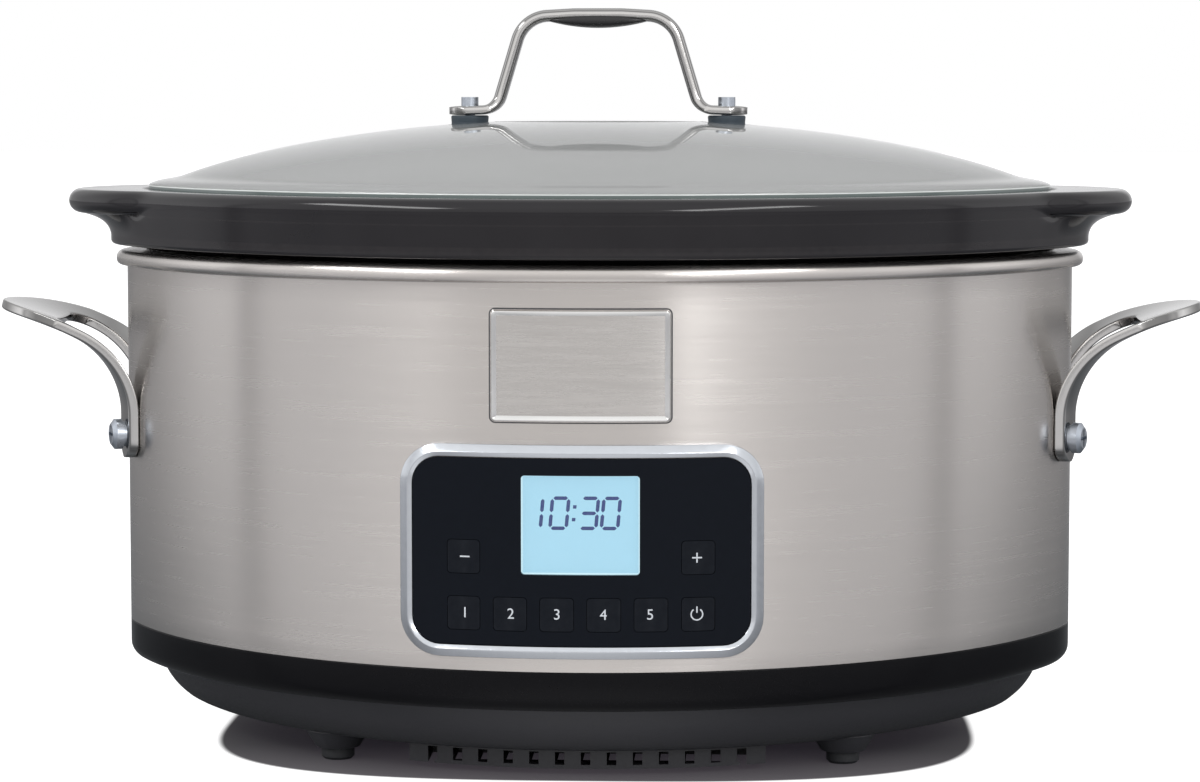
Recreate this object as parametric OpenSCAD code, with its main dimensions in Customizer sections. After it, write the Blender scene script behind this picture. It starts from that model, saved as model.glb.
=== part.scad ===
// Programmable oval slow cooker: a steel-clad heated base, a lift-out stoneware crock
// and a glass lid. Millimetres, +Z up. The origin is on the worktop under the middle of
// the base, +X runs along the oval and the control panel faces -Y.
//
// Every upright wall follows one oval, the outer face of the steel shell. The oval has
// four tangent arcs whose centres stand on 39-80-89 triangles, so each arc meets the next
// exactly. A profile's x is the distance outwards from that face and its y is the height
// above the worktop.

/* [Oval] */
// Length of the steel shell over its two ends
shell_len = 357.6; // [354:1.2:361.2]
// Depth of the steel shell from front to back
shell_depth = 276; // [273.6:1.2:279.6]

/* [Steel shell] */
// Height of the shell's lower edge
shell_foot_z = 43; // [42:0.5:44]
// Height of the rolled rim's top
rim_z = 183; // [181:0.5:186]
// Thickness of the sheet steel
shell_t = 0.8; // [0.6:0.1:1]
// Radius of the rolled rim bead
bead_r = 2.75; // [2.2:0.05:3.2]
// How far the bead's centre stands out of the shell's face
bead_out = 1.25; // [1:0.05:1.6]
// How far the top lip runs inwards
lip_in = 14; // [12:0.5:15]

/* [Heating well] */
// Distance from the shell's face to the inside of the well at its mouth
well_inset = 18.5; // [18:0.1:19.5]
// How much further in the well's wall stands at its floor
well_draft = 8; // [7:0.5:9]
// Height of the well's floor, on its top face
well_floor_z = 62; // [61:0.5:64]
// Thickness of the aluminium sheet
well_t = 0.8; // [0.6:0.1:1]
// Gap between the well and the crock
crock_gap = 2.5; // [2:0.1:3]
// Thickness of the heater band
heater_t = 2.5; // [2:0.1:3]
// Height of the heater band's lower edge
heater_z = 86; // [84:1:90]
// Width of the heater band
heater_h = 54; // [48:1:60]

/* [Crock] */
// Height of the crock's rim
crock_top_z = 206; // [205:0.5:208]
// Height of the crock's underside
crock_foot_z = 64.2; // [64:0.1:66]
// Wall thickness of the stoneware
crock_t = 7; // [6:0.5:8]
// Floor thickness of the stoneware
crock_floor_t = 9; // [8:0.5:10]
// How far the rim band stands out of the shell's face
band_out = 6; // [5.6:0.1:7]
// Width of the rim's flat top
rim_w = 12.6; // [12:0.1:13.4]
// Depth of the ledge that carries the lid
ledge_h = 3.8; // [3.4:0.1:4.2]
// How far each lug reaches past the rim band
lug_reach = 16; // [14:0.5:18]
// Plan radius of each lug
lug_r = 60; // [56:1:64]
// Thickness of each lug at its tip
lug_t = 9; // [8:0.5:10]

/* [Lid] */
// Height of the glass dome's crown
dome_z = 232.2; // [230:0.2:234]
// Height lost from the crown if the dome ran on to its full ellipse
dome_drop = 49; // [46:1:50]
// Half length of that full ellipse
dome_half = 191; // [189:1:196]
// Thickness of the glass
glass_t = 4; // [3.5:0.1:4.4]
// Gap round the glass inside the crock's rim
lid_gap = 1.6; // [1.2:0.1:2]
// Half length of the finger well in the glass
well_half = 41; // [38:0.5:41]
// Half length of the finger well's floor
well_floor_half = 27; // [24:0.5:29]
// Height of the finger well's floor
finger_floor_z = 221.6; // [221:0.2:224]

/* [Lid handle] */
// Distance of each handle screw from the middle
lid_screw_x = 48.6; // [47:0.2:50]
// Height of the glass pads under the handle
pad_z = 228.2; // [227.6:0.1:229]
// Height of the silicone spacers
spacer_h = 5.2; // [4.4:0.1:6]
// Diameter of the silicone spacers
spacer_d = 14.4; // [13:0.2:15]
// Thickness of the handle's flat tabs
tab_t = 3.5; // [3:0.1:4]
// Thickness of the handle's bow
bow_t = 4.6; // [4:0.2:5]
// Width of the handle's bow
bow_w = 13; // [11:0.5:14]
// Length of the straight part of each leg
leg_len = 23.75; // [21.25:1.25:26.25]
// Bend radius at the top of each leg
bow_bend_r = 12; // [10:0.5:13]
// Bend radius at the foot of each leg
foot_bend_r = 6; // [5:0.5:6.5]
// Half length of the moulded grip
grip_half = 20; // [16:0.5:22]
// Depth of the grip below the bow
grip_drop = 2.9; // [2:0.1:4]

/* [Side handles] */
// How far the handle's tip stands out of the shell's face
handle_reach = 49; // [46:0.5:51]
// Thickness of the stainless plate
handle_t = 3.5; // [3:0.1:4]
// Height of the feet's lower ends
handle_foot_z = 105.5; // [104:0.5:110]
// Height of the handle screws
handle_screw_z = 114.5; // [113:0.5:118]
// Height where the plate starts to bend outwards
handle_bend_z = 122; // [121:0.5:124]
// Radius of the lower bend, on its outer face
handle_bend_r = 32; // [30:0.5:34]
// Radius that the tongue's gentle curve has over the lower bend
tongue_extra_r = 76.5; // [71.4:1.7:81.6]
// Plan radius of the tongue's tip
tongue_tip_r = 36; // [34:0.5:38]
// Distance from the middle line to the middle of each arm
arm_y = 28; // [27:0.5:30]
// Width of each arm
arm_w = 13; // [12:0.5:14]
// Length of the finger opening, measured out from the shell's face
finger_reach = 27; // [24:0.5:29]

/* [Control panel] */
// Width of the bezel
bezel_w = 126; // [124:0.5:130]
// Height of the bezel
bezel_h = 74; // [72:0.5:76]
// Height of the panel's middle
panel_z = 84.9; // [84:0.1:87]
// Width of the bezel's face
bezel_face = 4.4; // [4:0.1:4.6]
// How far the bezel stands out of the shell
bezel_out = 3.2; // [2.8:0.1:4]
// Corner radius of the bezel
bezel_r = 14; // [12:0.5:15]
// Width of the display window
window_w = 40.8; // [38:0.2:42]
// Height of the display window
window_h = 34.2; // [33:0.2:34.8]
// Height of the display window's middle
window_z = 94.3; // [94:0.1:95]
// Size of a square key
key_size = 11.5; // [10:0.1:12]
// Spacing of the lower row of keys
key_pitch = 16; // [15.4:0.1:16.4]
// Height of the lower row of keys
key_low_z = 63.4; // [62:0.2:64]
// Height of the upper pair of keys
key_high_z = 83; // [82:0.2:86]
// Travel of a key
key_travel = 0.8; // [0.6:0.1:1]

/* [Name plate] */
// Width of the bare plate above the panel
plate_w = 62.2; // [56:0.2:66]
// Height of the bare plate
plate_h = 38.7; // [34:0.1:40]
// Height of the bare plate's middle
plate_z = 149; // [148:0.5:152]
// Thickness of the bare plate
plate_t = 2; // [1.6:0.1:2.6]

/* [Base] */
// Height of the pan's flat underside
pan_z = 10; // [9.5:0.1:11]
// Wall thickness of the moulded base parts
mould_t = 2.5; // [2:0.1:2.8]
// Distance of each foot from the middle along the oval
foot_x = 92; // [88:1:96]
// Distance of each foot from the middle across the oval
foot_y = 70; // [66:1:72]
// Height of the rubber feet that shows
foot_h = 4.5; // [4:0.1:5]
// Diameter of the rubber feet
foot_d = 12; // [10:0.5:14]
// Width of the vent hump
vent_w = 128; // [120:1:132]
// Height of the vent hump's underside
vent_z = 2.6; // [2:0.1:3.4]
// Number of air slots in the hump
vent_slots = 13; // [9:2:13]
// Height of the cord gland's axis
gland_z = 60; // [58:0.5:66]
// Radius of the cord gland's bore
gland_r = 3.6; // [3.4:0.1:3.8]

/* [Hidden] */
$fn = 96;

// Rounded stretches of a profile are drawn in this many steps
arc_steps = 5;
// A cut runs this far past the face it opens
over = 1;
// Pieces of different bodies, and curved seats, keep this gap
seat_gap = 0.3;
// Concentric faces of one body keep this gap
fit_gap = 0.15;

// ---- the oval ----
half_len = shell_len / 2;
half_depth = shell_depth / 2;
oval_unit = (half_len - half_depth) / 30;
end_c = 80 * oval_unit;
side_e = 39 * oval_unit;
end_r = half_len - end_c;
side_r = end_r + 89 * oval_unit;
// Half the angle of a long arc, seen from its own centre
side_half = atan2(80, 39);
end_half = 90 - side_half;
// Cuts and clips that must pass everything reach this far
reach = 2 * half_len;

// ---- heights and insets that several pieces share ----
well_foot_inset = well_inset + well_draft;
well_depth = rim_z - well_floor_z;
// Inset of the well's inner face at a height
function well_in(z) = well_inset + well_draft * (rim_z - z) / well_depth;
crock_out = well_inset + crock_gap;
function crock_in(z) = well_in(z) + crock_gap + crock_t;
band_foot_z = rim_z + seat_gap;
ledge_z = crock_top_z - ledge_h;
ledge_in = rim_w - band_out;
ledge_w = 10;
lid_foot_z = ledge_z + seat_gap;
lid_inset = ledge_in + lid_gap;
lid_half = half_len - lid_inset;
core_inset = 45;
pan_flat_inset = 30;
pan_inner_z = pan_z + mould_t;
ring_seat_z = 28.3;
locating_lip = 5;

function arc_pts(cx, cy, r, from, to, steps = arc_steps) =
    [for (i = [0:steps]) let (a = from + (to - from) * i / steps)
        [cx + r * cos(a), cy + r * sin(a)]];

// The part of the plan that belongs to the right-hand end arc
module end_sector() {
    polygon([[end_c, 0], [2.5 * end_c, -1.5 * side_e], [2.5 * end_c, 1.5 * side_e]]);
}

// The part of the plan that belongs to the front arc
module side_sector() {
    polygon([[0, side_e], [2.5 * end_c, -1.5 * side_e], [2.5 * end_c, -reach],
        [-2.5 * end_c, -reach], [-2.5 * end_c, -1.5 * side_e]]);
}

// A profile's points about an arc's centre; a point past the centre stops on it
function about(pts, r) = [for (p = pts) [max(p[0] + r, 0), p[1]]];

// Sweeps a profile round the oval
module ring_sweep(pts) {
    for (turn = [0, 180]) rotate([0, 0, turn]) {
        intersection() {
            translate([end_c, 0, 0]) rotate_extrude() polygon(about(pts, end_r));
            linear_extrude(reach) end_sector();
        }
        intersection() {
            translate([0, side_e, 0]) rotate_extrude() polygon(about(pts, side_r));
            linear_extrude(reach) side_sector();
        }
    }
}

// The oval's outline, moved outwards by grow
module oval_2d(grow = 0) {
    for (turn = [0, 180]) rotate(turn) {
        intersection() {
            translate([end_c, 0]) circle(max(end_r + grow, 0));
            end_sector();
        }
        intersection() {
            translate([0, side_e]) circle(side_r + grow);
            side_sector();
        }
    }
}

module oval_plate(grow, z, h) {
    translate([0, 0, z]) linear_extrude(h) oval_2d(grow);
}

module rounded_rect(w, h, r) {
    square([w - 2 * r, h], center = true);
    square([w, h - 2 * r], center = true);
    for (x = [-1, 1], y = [-1, 1]) translate([x * (w / 2 - r), y * (h / 2 - r)]) circle(r);
}

// A block that runs out through the front, its middle at the origin
module front_prism(w, h, r, depth = 2 * half_len) {
    rotate([90, 0, 0]) linear_extrude(depth) rounded_rect(w, h, r);
}

// A plate bent to the shell's front, drawn about the centre of the front arc:
// its faces lie near and far outwards of the shell's face
module front_plate(w, h, r, near, far) {
    intersection() {
        difference() {
            translate([0, 0, -h / 2 - over]) cylinder(r = side_r + far, h = h + 2 * over);
            translate([0, 0, -h / 2 - 2 * over]) cylinder(r = side_r + near, h = h + 4 * over);
        }
        front_prism(w, h, r, side_r + far + over);
    }
}

module at_front(z, x = 0) {
    translate([0, side_e, z]) rotate([0, 0, asin(x / side_r)]) children();
}

// A round piece whose axis points outwards at the front, from near to far
module front_pin(r, near, far) {
    translate([0, -side_r - far, 0]) rotate([-90, 0, 0]) cylinder(r = r, h = far - near);
}

module both_ends() {
    for (side = [0, 1]) mirror([side, 0, 0]) children();
}

// ---- steel shell ----
bead_z = rim_z - bead_r;
handle_seat = fit_gap + handle_t;
arm_angle = asin(arm_y / (end_r + handle_seat / 2));
handle_hole_r = 2.75;
plate_pin_r = 1.5;
plate_pin_x = plate_w / 2 - 8;
skirt_w = bezel_w - 2 * bezel_face + 2.4;
skirt_h = bezel_h - 2 * bezel_face + 2.4;
skirt_r = bezel_r - bezel_face + 1.2;
gland_neck_r = 5.9;

shell_profile = concat(
    [[0, shell_foot_z], [0, bead_z - bead_r]],
    arc_pts(bead_out, bead_z, bead_r, -90, 90, 2 * arc_steps),
    [[-lip_in, rim_z], [-lip_in, rim_z - shell_t]],
    arc_pts(bead_out, bead_z, bead_r - shell_t, 90, -90, 2 * arc_steps),
    [[-shell_t, bead_z - bead_r + shell_t], [-shell_t, shell_foot_z]]);

// Every handle screw's place, with +X pointing out of the shell
module at_handle_screws() {
    both_ends() for (way = [-1, 1])
        translate([end_c, 0, handle_screw_z]) rotate([0, 0, way * arm_angle])
            translate([end_r, 0, 0]) rotate([0, 90, 0]) children();
}

module outer_shell() color("silver") difference() {
    ring_sweep(shell_profile);
    at_front(panel_z) front_plate(skirt_w + 2 * seat_gap, skirt_h + 2 * seat_gap,
        skirt_r + seat_gap, -3, 3);
    for (x = [-1, 1]) at_front(plate_z, x * plate_pin_x) front_pin(plate_pin_r + fit_gap, -3, 3);
    at_handle_screws() translate([0, 0, -5]) cylinder(r = handle_hole_r, h = 10);
    translate([0, half_depth - 5, gland_z]) rotate([-90, 0, 0])
        cylinder(r = gland_neck_r + fit_gap, h = 10);
}

// ---- heating well and heater ----
well_corner_r = 14;
tie_x = 70;
tie_r = 2.5;
weld_nut_r = 6;
weld_nut_h = 6;
shield_t = 0.8;
weld_nut_z = well_floor_z - well_t - weld_nut_h;

// A sheet's side that runs down the well and round the corner to its floor
function well_side(out, top_z, floor_z, corner_r) = concat(
    [[out - well_in(top_z), top_z]],
    arc_pts(out - well_in(floor_z) - corner_r, floor_z + corner_r, corner_r, 0, -90));
function reversed(pts) = [for (i = [len(pts) - 1:-1:0]) pts[i]];

flange_z = rim_z - shell_t;
flange_out = 5;

module heating_well() color("gainsboro") difference() {
    union() {
        ring_sweep(concat(
            [[-flange_out, flange_z]],
            well_side(0, flange_z, well_floor_z, well_corner_r),
            [[-core_inset, well_floor_z], [-core_inset, well_floor_z - well_t]],
            reversed(well_side(well_t, flange_z - well_t, well_floor_z - well_t, well_corner_r + well_t)),
            [[-flange_out, flange_z - well_t]]));
        oval_plate(-core_inset, well_floor_z - well_t, well_t);
        for (x = [-1, 1]) translate([x * tie_x, 0, weld_nut_z])
            cylinder(r = weld_nut_r, h = weld_nut_h + well_t / 2);
    }
    for (x = [-1, 1]) translate([x * tie_x, 0, weld_nut_z - over])
        cylinder(r = tie_r, h = weld_nut_h);
}

function band_face(z) = well_in(z) - well_t - fit_gap;
clamp_gap = 16;
clamp_ear = 3;

module heater_band() color("dimgray") difference() {
    ring_sweep([
        [-band_face(heater_z), heater_z], [-band_face(heater_z) + heater_t, heater_z],
        [-band_face(heater_z + heater_h) + heater_t, heater_z + heater_h],
        [-band_face(heater_z + heater_h), heater_z + heater_h]]);
    translate([-clamp_gap / 2, 0, heater_z - over]) cube([clamp_gap, half_depth, heater_h + 2 * over]);
}

band_mid_z = heater_z + heater_h / 2;
ear_h = 12;
// The sloping band's outer face at the top of the ears
band_back_y = half_depth - band_face(band_mid_z + ear_h / 2) + heater_t;

// Two ears on the band's ends, drawn together by a sprung screw
module band_clamp() color("darkgray") {
    ear_drop = 0.2;
    screw_r = 1.6;
    for (x = [-1, 1]) difference() {
        translate([x * (clamp_gap / 2 + clamp_ear / 2) - clamp_ear / 2, band_back_y - ear_drop,
            band_mid_z - ear_h / 2]) cube([clamp_ear, 7, ear_h]);
        translate([x * (clamp_gap / 2 + clamp_ear / 2), band_back_y + 4, band_mid_z])
            rotate([0, 90, 0]) cylinder(r = screw_r + fit_gap, h = clamp_ear + 2 * over, center = true);
    }
    translate([0, band_back_y + 4, band_mid_z]) rotate([0, 90, 0]) {
        cylinder(r = screw_r, h = clamp_gap + 4 * clamp_ear, center = true);
        for (x = [-1, 1]) translate([0, 0, x * (clamp_gap / 2 + clamp_ear + 1.2)])
            cylinder(r = 3, h = 2.2, center = true, $fn = 6);
    }
}

// Ceramic blocks with push-on tags where the heater's leads join
terminal_x = 34;

module heater_terminals() color("ivory") {
    for (x = [-1, 1]) translate([0, -side_e, band_mid_z])
        rotate([0, 0, -x * terminal_x / 2.9]) {
            translate([-6, side_e + band_back_y, -5]) cube([12, 4, 10]);
            translate([-3.2, side_e + band_back_y + 3.5, -12]) cube([6.4, 0.8, 17]);
        }
}

fuse_r = 2;
fuse_z = heater_z + heater_h + 8;

module thermal_fuse() color("goldenrod")
    translate([0, half_depth - well_in(fuse_z) + well_t + fit_gap + fuse_r, fuse_z]) rotate([0, 90, 0]) {
        cylinder(r = fuse_r, h = 12, center = true);
        cylinder(r = 0.5, h = 26, center = true);
    }

sensor_h = 5;

module temperature_sensor() color("orange") translate([0, 0, well_floor_z - well_t]) {
    translate([0, 0, -1.2]) cylinder(r = 9, h = 1.2);
    translate([0, 0, -sensor_h]) cylinder(r = 4, h = sensor_h - 1.2 + 0.1);
}

module heat_shield() color("lightgray") difference() {
    union() {
        oval_plate(-core_inset, weld_nut_z - shield_t, shield_t);
        ring_sweep([
            [-core_inset, weld_nut_z - shield_t], [-core_inset + 10, weld_nut_z - shield_t + 4],
            [-core_inset + 10, weld_nut_z + 4], [-core_inset, weld_nut_z]]);
    }
    for (x = [-1, 1]) translate([x * tie_x, 0, weld_nut_z - shield_t - over])
        cylinder(r = tie_r + seat_gap, h = shield_t + 2 * over);
    translate([0, 0, weld_nut_z - shield_t - over]) cylinder(r = 12, h = shield_t + 2 * over);
}

tie_head_h = 3;
tie_head_z = pan_z - tie_head_h;
tie_boss_r = 5.5;

// Hexagon bolts that draw the well, the shell and the base together
module tie_bolts() color("darkgray") for (x = [-1, 1]) translate([x * tie_x, 0, tie_head_z]) {
    cylinder(r = 4.6, h = tie_head_h, $fn = 6);
    cylinder(r = tie_r, h = weld_nut_z + weld_nut_h - 2 - tie_head_z);
}

module tie_spacers() color("silver") for (x = [-1, 1]) translate([x * tie_x, 0, pan_inner_z])
    difference() {
        spacer_len = weld_nut_z - shield_t - pan_inner_z;
        cylinder(r = tie_boss_r, h = spacer_len);
        translate([0, 0, -over]) cylinder(r = tie_r + seat_gap, h = spacer_len + 2 * over);
    }

// ---- base ----
ring_out_z = 36;

module base_ring() color([0.09, 0.09, 0.1]) ring_sweep(concat(
    [[0, shell_foot_z]],
    arc_pts(-7, ring_out_z, 7, 0, -72),
    [[-10.5, ring_seat_z], [-14.5, ring_seat_z], [-14.5, ring_seat_z + mould_t]],
    arc_pts(-7, ring_out_z, 7 - mould_t, -80, 0),
    [[-shell_t - fit_gap - mould_t, shell_foot_z], [-shell_t - fit_gap - mould_t, shell_foot_z + locating_lip],
        [-shell_t - fit_gap, shell_foot_z + locating_lip], [-shell_t - fit_gap, shell_foot_z]]));

pan_lip_in = 14.5 + fit_gap;
foot_boss_r = 12;
foot_boss_tip_r = 8;
foot_stem_r = 3.5;
foot_stem_h = 4;
board_z = 24;
board_w = 96;
board_d = 62;
board_t = 1.6;
board_post_r = 3.5;
small_screw_r = 1.2;

module at_feet() {
    for (x = [-1, 1], y = [-1, 1]) translate([x * foot_x, y * foot_y, 0]) children();
}

module at_board_corners() {
    for (x = [-1, 1], y = [-1, 1])
        translate([x * (board_w / 2 - 5), 26 + y * (board_d / 2 - 5), 0]) children();
}

vent_slot_w = 3.4;
vent_pitch = (vent_w - 8) / vent_slots;
vent_inset = 36;
vent_back_y = 62;

// One cutter for each air slot
module vent_slots_at(z, h, y0, y1) {
    for (i = [0:vent_slots - 1])
        translate([(i - (vent_slots - 1) / 2) * vent_pitch - vent_slot_w / 2, -y0, z])
            cube([vent_slot_w, y0 - y1, h]);
}

module base_pan() color([0.13, 0.13, 0.14]) difference() {
    union() {
        ring_sweep([
            [-10.8, ring_seat_z - fit_gap], [-13.2, 23.8], [-16.6, 18.2], [-20.4, 13.9],
            [-24.8, pan_z + 1.3], [-pan_flat_inset, pan_z + 0.2], [-core_inset, pan_z],
            [-core_inset, pan_inner_z], [-pan_flat_inset - 0.6, pan_inner_z + 0.2],
            [-25.8, pan_inner_z + 1.4], [-22.2, 15.8], [-18.8, 19.8], [-pan_lip_in - mould_t, 23.4],
            [-pan_lip_in - mould_t, ring_seat_z + 5], [-pan_lip_in, ring_seat_z + 5],
            [-pan_lip_in, ring_seat_z - fit_gap]]);
        oval_plate(-core_inset, pan_z, mould_t);
        at_feet() translate([0, 0, foot_h])
            cylinder(r1 = foot_boss_tip_r, r2 = foot_boss_r, h = pan_z - foot_h + mould_t / 2);
        at_board_corners() translate([0, 0, pan_z + over])
            cylinder(r = board_post_r, h = board_z - pan_z - over);
    }
    at_feet() translate([0, 0, foot_h - over]) cylinder(r = foot_stem_r, h = foot_stem_h + over);
    at_board_corners() translate([0, 0, board_z - 8]) cylinder(r = small_screw_r, h = 8 + over);
    for (x = [-1, 1]) translate([x * tie_x, 0, pan_z - over])
        cylinder(r = tie_r + seat_gap, h = mould_t + 2 * over);
    vent_slots_at(pan_z - over, mould_t + 2 * over, 92, 74);
}

module vent_cover() color([0.11, 0.11, 0.12]) difference() {
    box_h = pan_z - vent_z;
    intersection() {
        oval_plate(-vent_inset, vent_z, box_h);
        translate([-vent_w / 2, -half_depth, vent_z]) cube([vent_w, half_depth - vent_back_y, box_h]);
    }
    intersection() {
        oval_plate(-vent_inset - mould_t, vent_z + mould_t, box_h);
        translate([-vent_w / 2 + mould_t, -half_depth, vent_z + mould_t])
            cube([vent_w - 2 * mould_t, half_depth - vent_back_y - mould_t, box_h]);
    }
    vent_slots_at(vent_z + 1.4, box_h - 2.8, half_depth, 80);
    vent_slots_at(vent_z - over, mould_t + 2 * over, 92, 72);
}

module rubber_foot(x, y) color([0.1, 0.11, 0.12]) translate([x * foot_x, y * foot_y, 0]) {
    edge = 1;
    cylinder(r1 = foot_d / 2 - edge, r2 = foot_d / 2, h = edge);
    translate([0, 0, edge]) cylinder(r = foot_d / 2, h = foot_h - edge);
    translate([0, 0, foot_h - 0.1]) cylinder(r = foot_stem_r - 0.05, h = foot_stem_h - 0.3);
}

gland_flange_r = 9.5;
gland_flange_t = 3;

module cord_gland() color([0.08, 0.08, 0.08])
    translate([0, half_depth, gland_z]) rotate([-90, 0, 0]) difference() {
        union() {
            translate([0, 0, fit_gap]) cylinder(r = gland_flange_r, h = 1.4);
            translate([0, 0, fit_gap + 1.4])
                cylinder(r1 = gland_flange_r, r2 = gland_flange_r - 3, h = gland_flange_t - 1.4);
            translate([0, 0, -4]) cylinder(r = gland_neck_r, h = 4 + 2 * fit_gap);
            translate([0, 0, -4]) cylinder(r = gland_neck_r + 1.6, h = 2.6);
        }
        translate([0, 0, -6]) cylinder(r = gland_r, h = 6 + 2 * gland_flange_t);
    }

board_mid_y = 26;

module power_board() color("darkgreen") difference() {
    translate([-board_w / 2, board_mid_y - board_d / 2, board_z]) cube([board_w, board_d, board_t]);
    at_board_corners() translate([0, 0, board_z - over])
        cylinder(r = small_screw_r + fit_gap, h = board_t + 2 * over);
}

board_top_z = board_z + board_t;

module board_screws() color("silver") at_board_corners() {
    translate([0, 0, board_top_z]) cylinder(r = 2.6, h = 1.8);
    translate([0, 0, board_z - 6]) cylinder(r = small_screw_r - 0.05, h = board_top_z - board_z + 6.1);
}

module relay() color([0.1, 0.2, 0.5]) translate([-38, board_mid_y - 8, board_top_z])
    cube([16, 20, 16]);

module transformer() color("saddlebrown") translate([0, board_mid_y, board_top_z]) {
    translate([-6, -14, 0]) cube([28, 30, 6]);
    translate([0, -14, 5]) cube([16, 30, 13]);
    translate([-6, -8, 5]) cube([28, 18, 13]);
}

module terminal_block() color("ivory") translate([0, 80, pan_inner_z]) difference() {
    translate([-24, -8, 0]) cube([48, 16, 15]);
    for (x = [-16, 0, 16]) {
        translate([x - 4, -8 - over, 5]) cube([8, 16 + 2 * over, 5]);
        translate([x, 0, 9]) cylinder(r = 2.4, h = 7);
    }
}

// ---- control panel ----
face_w = bezel_w - 2 * bezel_face;
face_h = bezel_h - 2 * bezel_face;
face_r = bezel_r - bezel_face;
ledge_frame = 3.6;
fascia_near = 0.4;
fascia_far = 2.2;
tray_seat = shell_t + fit_gap;
tray_flange_t = 1.5;
corner_screw_x = face_w / 2 - 4;
corner_screw_z = face_h / 2 - 4;

module at_panel_corners() {
    for (x = [-1, 1], z = [-1, 1])
        at_front(panel_z + z * corner_screw_z, x * corner_screw_x) children();
}

module bezel() color("lightgray") difference() {
    at_front(panel_z) union() {
        front_plate(bezel_w, bezel_h, bezel_r, fit_gap, bezel_out - 1.4);
        front_plate(bezel_w - 2.4, bezel_h - 2.4, bezel_r - 1.2, fit_gap, bezel_out);
        front_plate(skirt_w, skirt_h, skirt_r, -tray_seat, 1);
    }
    at_front(panel_z) front_plate(face_w, face_h, face_r, fascia_near - fit_gap, bezel_out + over);
    at_front(panel_z) front_plate(face_w - 2 * ledge_frame, face_h - 2 * ledge_frame,
        face_r - ledge_frame + 1, -3, 3);
    at_panel_corners() front_pin(small_screw_r - 0.2, -3, 0);
}

// Keys: name, place along the panel and height
KEYS = [["key_minus", -2.5 * key_pitch, key_high_z], ["key_plus", 2.5 * key_pitch, key_high_z],
    ["key_1", -2.5 * key_pitch, key_low_z], ["key_2", -1.5 * key_pitch, key_low_z],
    ["key_3", -0.5 * key_pitch, key_low_z], ["key_4", 0.5 * key_pitch, key_low_z],
    ["key_5", 1.5 * key_pitch, key_low_z], ["key_power", 2.5 * key_pitch, key_low_z]];
key_gap = 0.2;
key_r = 1.2;
key_lip = 1;
key_lip_t = 0.9;
key_back = fascia_near - seat_gap - key_lip_t;

module fascia() color([0.06, 0.08, 0.1]) difference() {
    at_front(panel_z) front_plate(face_w - 2 * key_gap, face_h - 2 * key_gap, face_r - key_gap,
        fascia_near, fascia_far);
    at_front(window_z) front_plate(window_w, window_h, key_r, -3, 5);
    for (k = KEYS) at_front(k[2], k[1])
        front_plate(key_size + 2 * key_gap, key_size + 2 * key_gap, key_r + key_gap, -3, 5);
}

module display_window() color([0.7, 0.85, 0.95, 0.5]) at_front(window_z)
    front_plate(window_w - 2 * key_gap, window_h - 2 * key_gap, key_r - key_gap, 1, fascia_far - 0.1);

// Flat parts stand behind the bent fascia, on this plane
control_board_y = half_depth - 10.6;
tray_w = face_w - 15.2;
control_board_w = tray_w - 6;
control_board_h = 53.6;
switch_h = 2.6;
switch_button_h = 0.9;
window_sag = side_r - sqrt(side_r * side_r - window_w * window_w / 4);

module display_module() color("lightblue")
    translate([-22, -half_depth + window_sag + seat_gap, window_z - 17.4])
        cube([44, half_depth - window_sag - seat_gap - control_board_y, 34.8]);

module at_control_board() {
    translate([0, -control_board_y, panel_z]) children();
}

module control_board() color("darkgreen") difference() {
    at_control_board() translate([-control_board_w / 2, 0, -control_board_h / 2])
        cube([control_board_w, board_t, control_board_h]);
    at_control_board() for (x = [-1, 1], z = [-1, 1])
        translate([x * (control_board_w / 2 - 3), -over, z * (control_board_h / 2 - 3)])
            rotate([-90, 0, 0]) cylinder(r = small_screw_r, h = board_t + 2 * over);
}

// Distance from the front arc's axis to the plane of the switch buttons
switch_plane = side_e + control_board_y + switch_h + switch_button_h;

module key_switches() color([0.15, 0.15, 0.15]) for (k = KEYS) {
    switch_x = switch_plane * k[1] / side_r;
    translate([switch_x, -control_board_y, k[2]]) rotate([90, 0, 0]) {
        translate([-3, -3, 0]) cube([6, 6, switch_h]);
        cylinder(r = 1.7, h = switch_h + switch_button_h);
    }
}

module key_cap(x, z) color([0.07, 0.09, 0.11]) {
    lean = asin(x / side_r);
    plunger_end = (switch_plane + key_travel + seat_gap / 2) / cos(lean) - side_r;
    at_front(z, x) {
        front_plate(key_size, key_size, key_r, key_back + key_lip_t - 0.1, fascia_far);
        front_plate(key_size + 2 * key_lip, key_size + 2 * key_lip, key_r, key_back, key_back + key_lip_t);
        front_pin(1.5, plunger_end, key_back + 0.2);
    }
}

tray_wall = 1.8;
tray_back = control_board_y - board_t - 2 * tray_wall;
// The tray stands clear of the keys' lips, also when a key is pressed
tray_h = 2 * (panel_z - key_low_z + key_size / 2 + key_lip + seat_gap + tray_wall);

module panel_tray() color([0.2, 0.2, 0.22]) difference() {
    union() {
        at_front(panel_z) front_plate(bezel_w - 2, bezel_h - 2, bezel_r - 1, -tray_seat - tray_flange_t,
            -tray_seat);
        intersection() {
            translate([-tray_w / 2, -half_depth, panel_z - tray_h / 2])
                cube([tray_w, half_depth - tray_back, tray_h]);
            translate([0, side_e, 0]) cylinder(r = side_r - tray_seat - 0.2, h = rim_z);
        }
    }
    difference() {
        translate([-tray_w / 2 + tray_wall, -half_depth - over, panel_z - tray_h / 2 + tray_wall])
            cube([tray_w - 2 * tray_wall, half_depth + over - tray_back - tray_wall, tray_h - 2 * tray_wall]);
        for (x = [-1, 1], z = [-1, 1])
            translate([x * (control_board_w / 2 - 3), -tray_back, panel_z + z * (control_board_h / 2 - 3)])
                rotate([90, 0, 0]) cylinder(r = 2.2, h = 3.6);
    }
    at_panel_corners() front_pin(small_screw_r + fit_gap, -4, 0);
}

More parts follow.
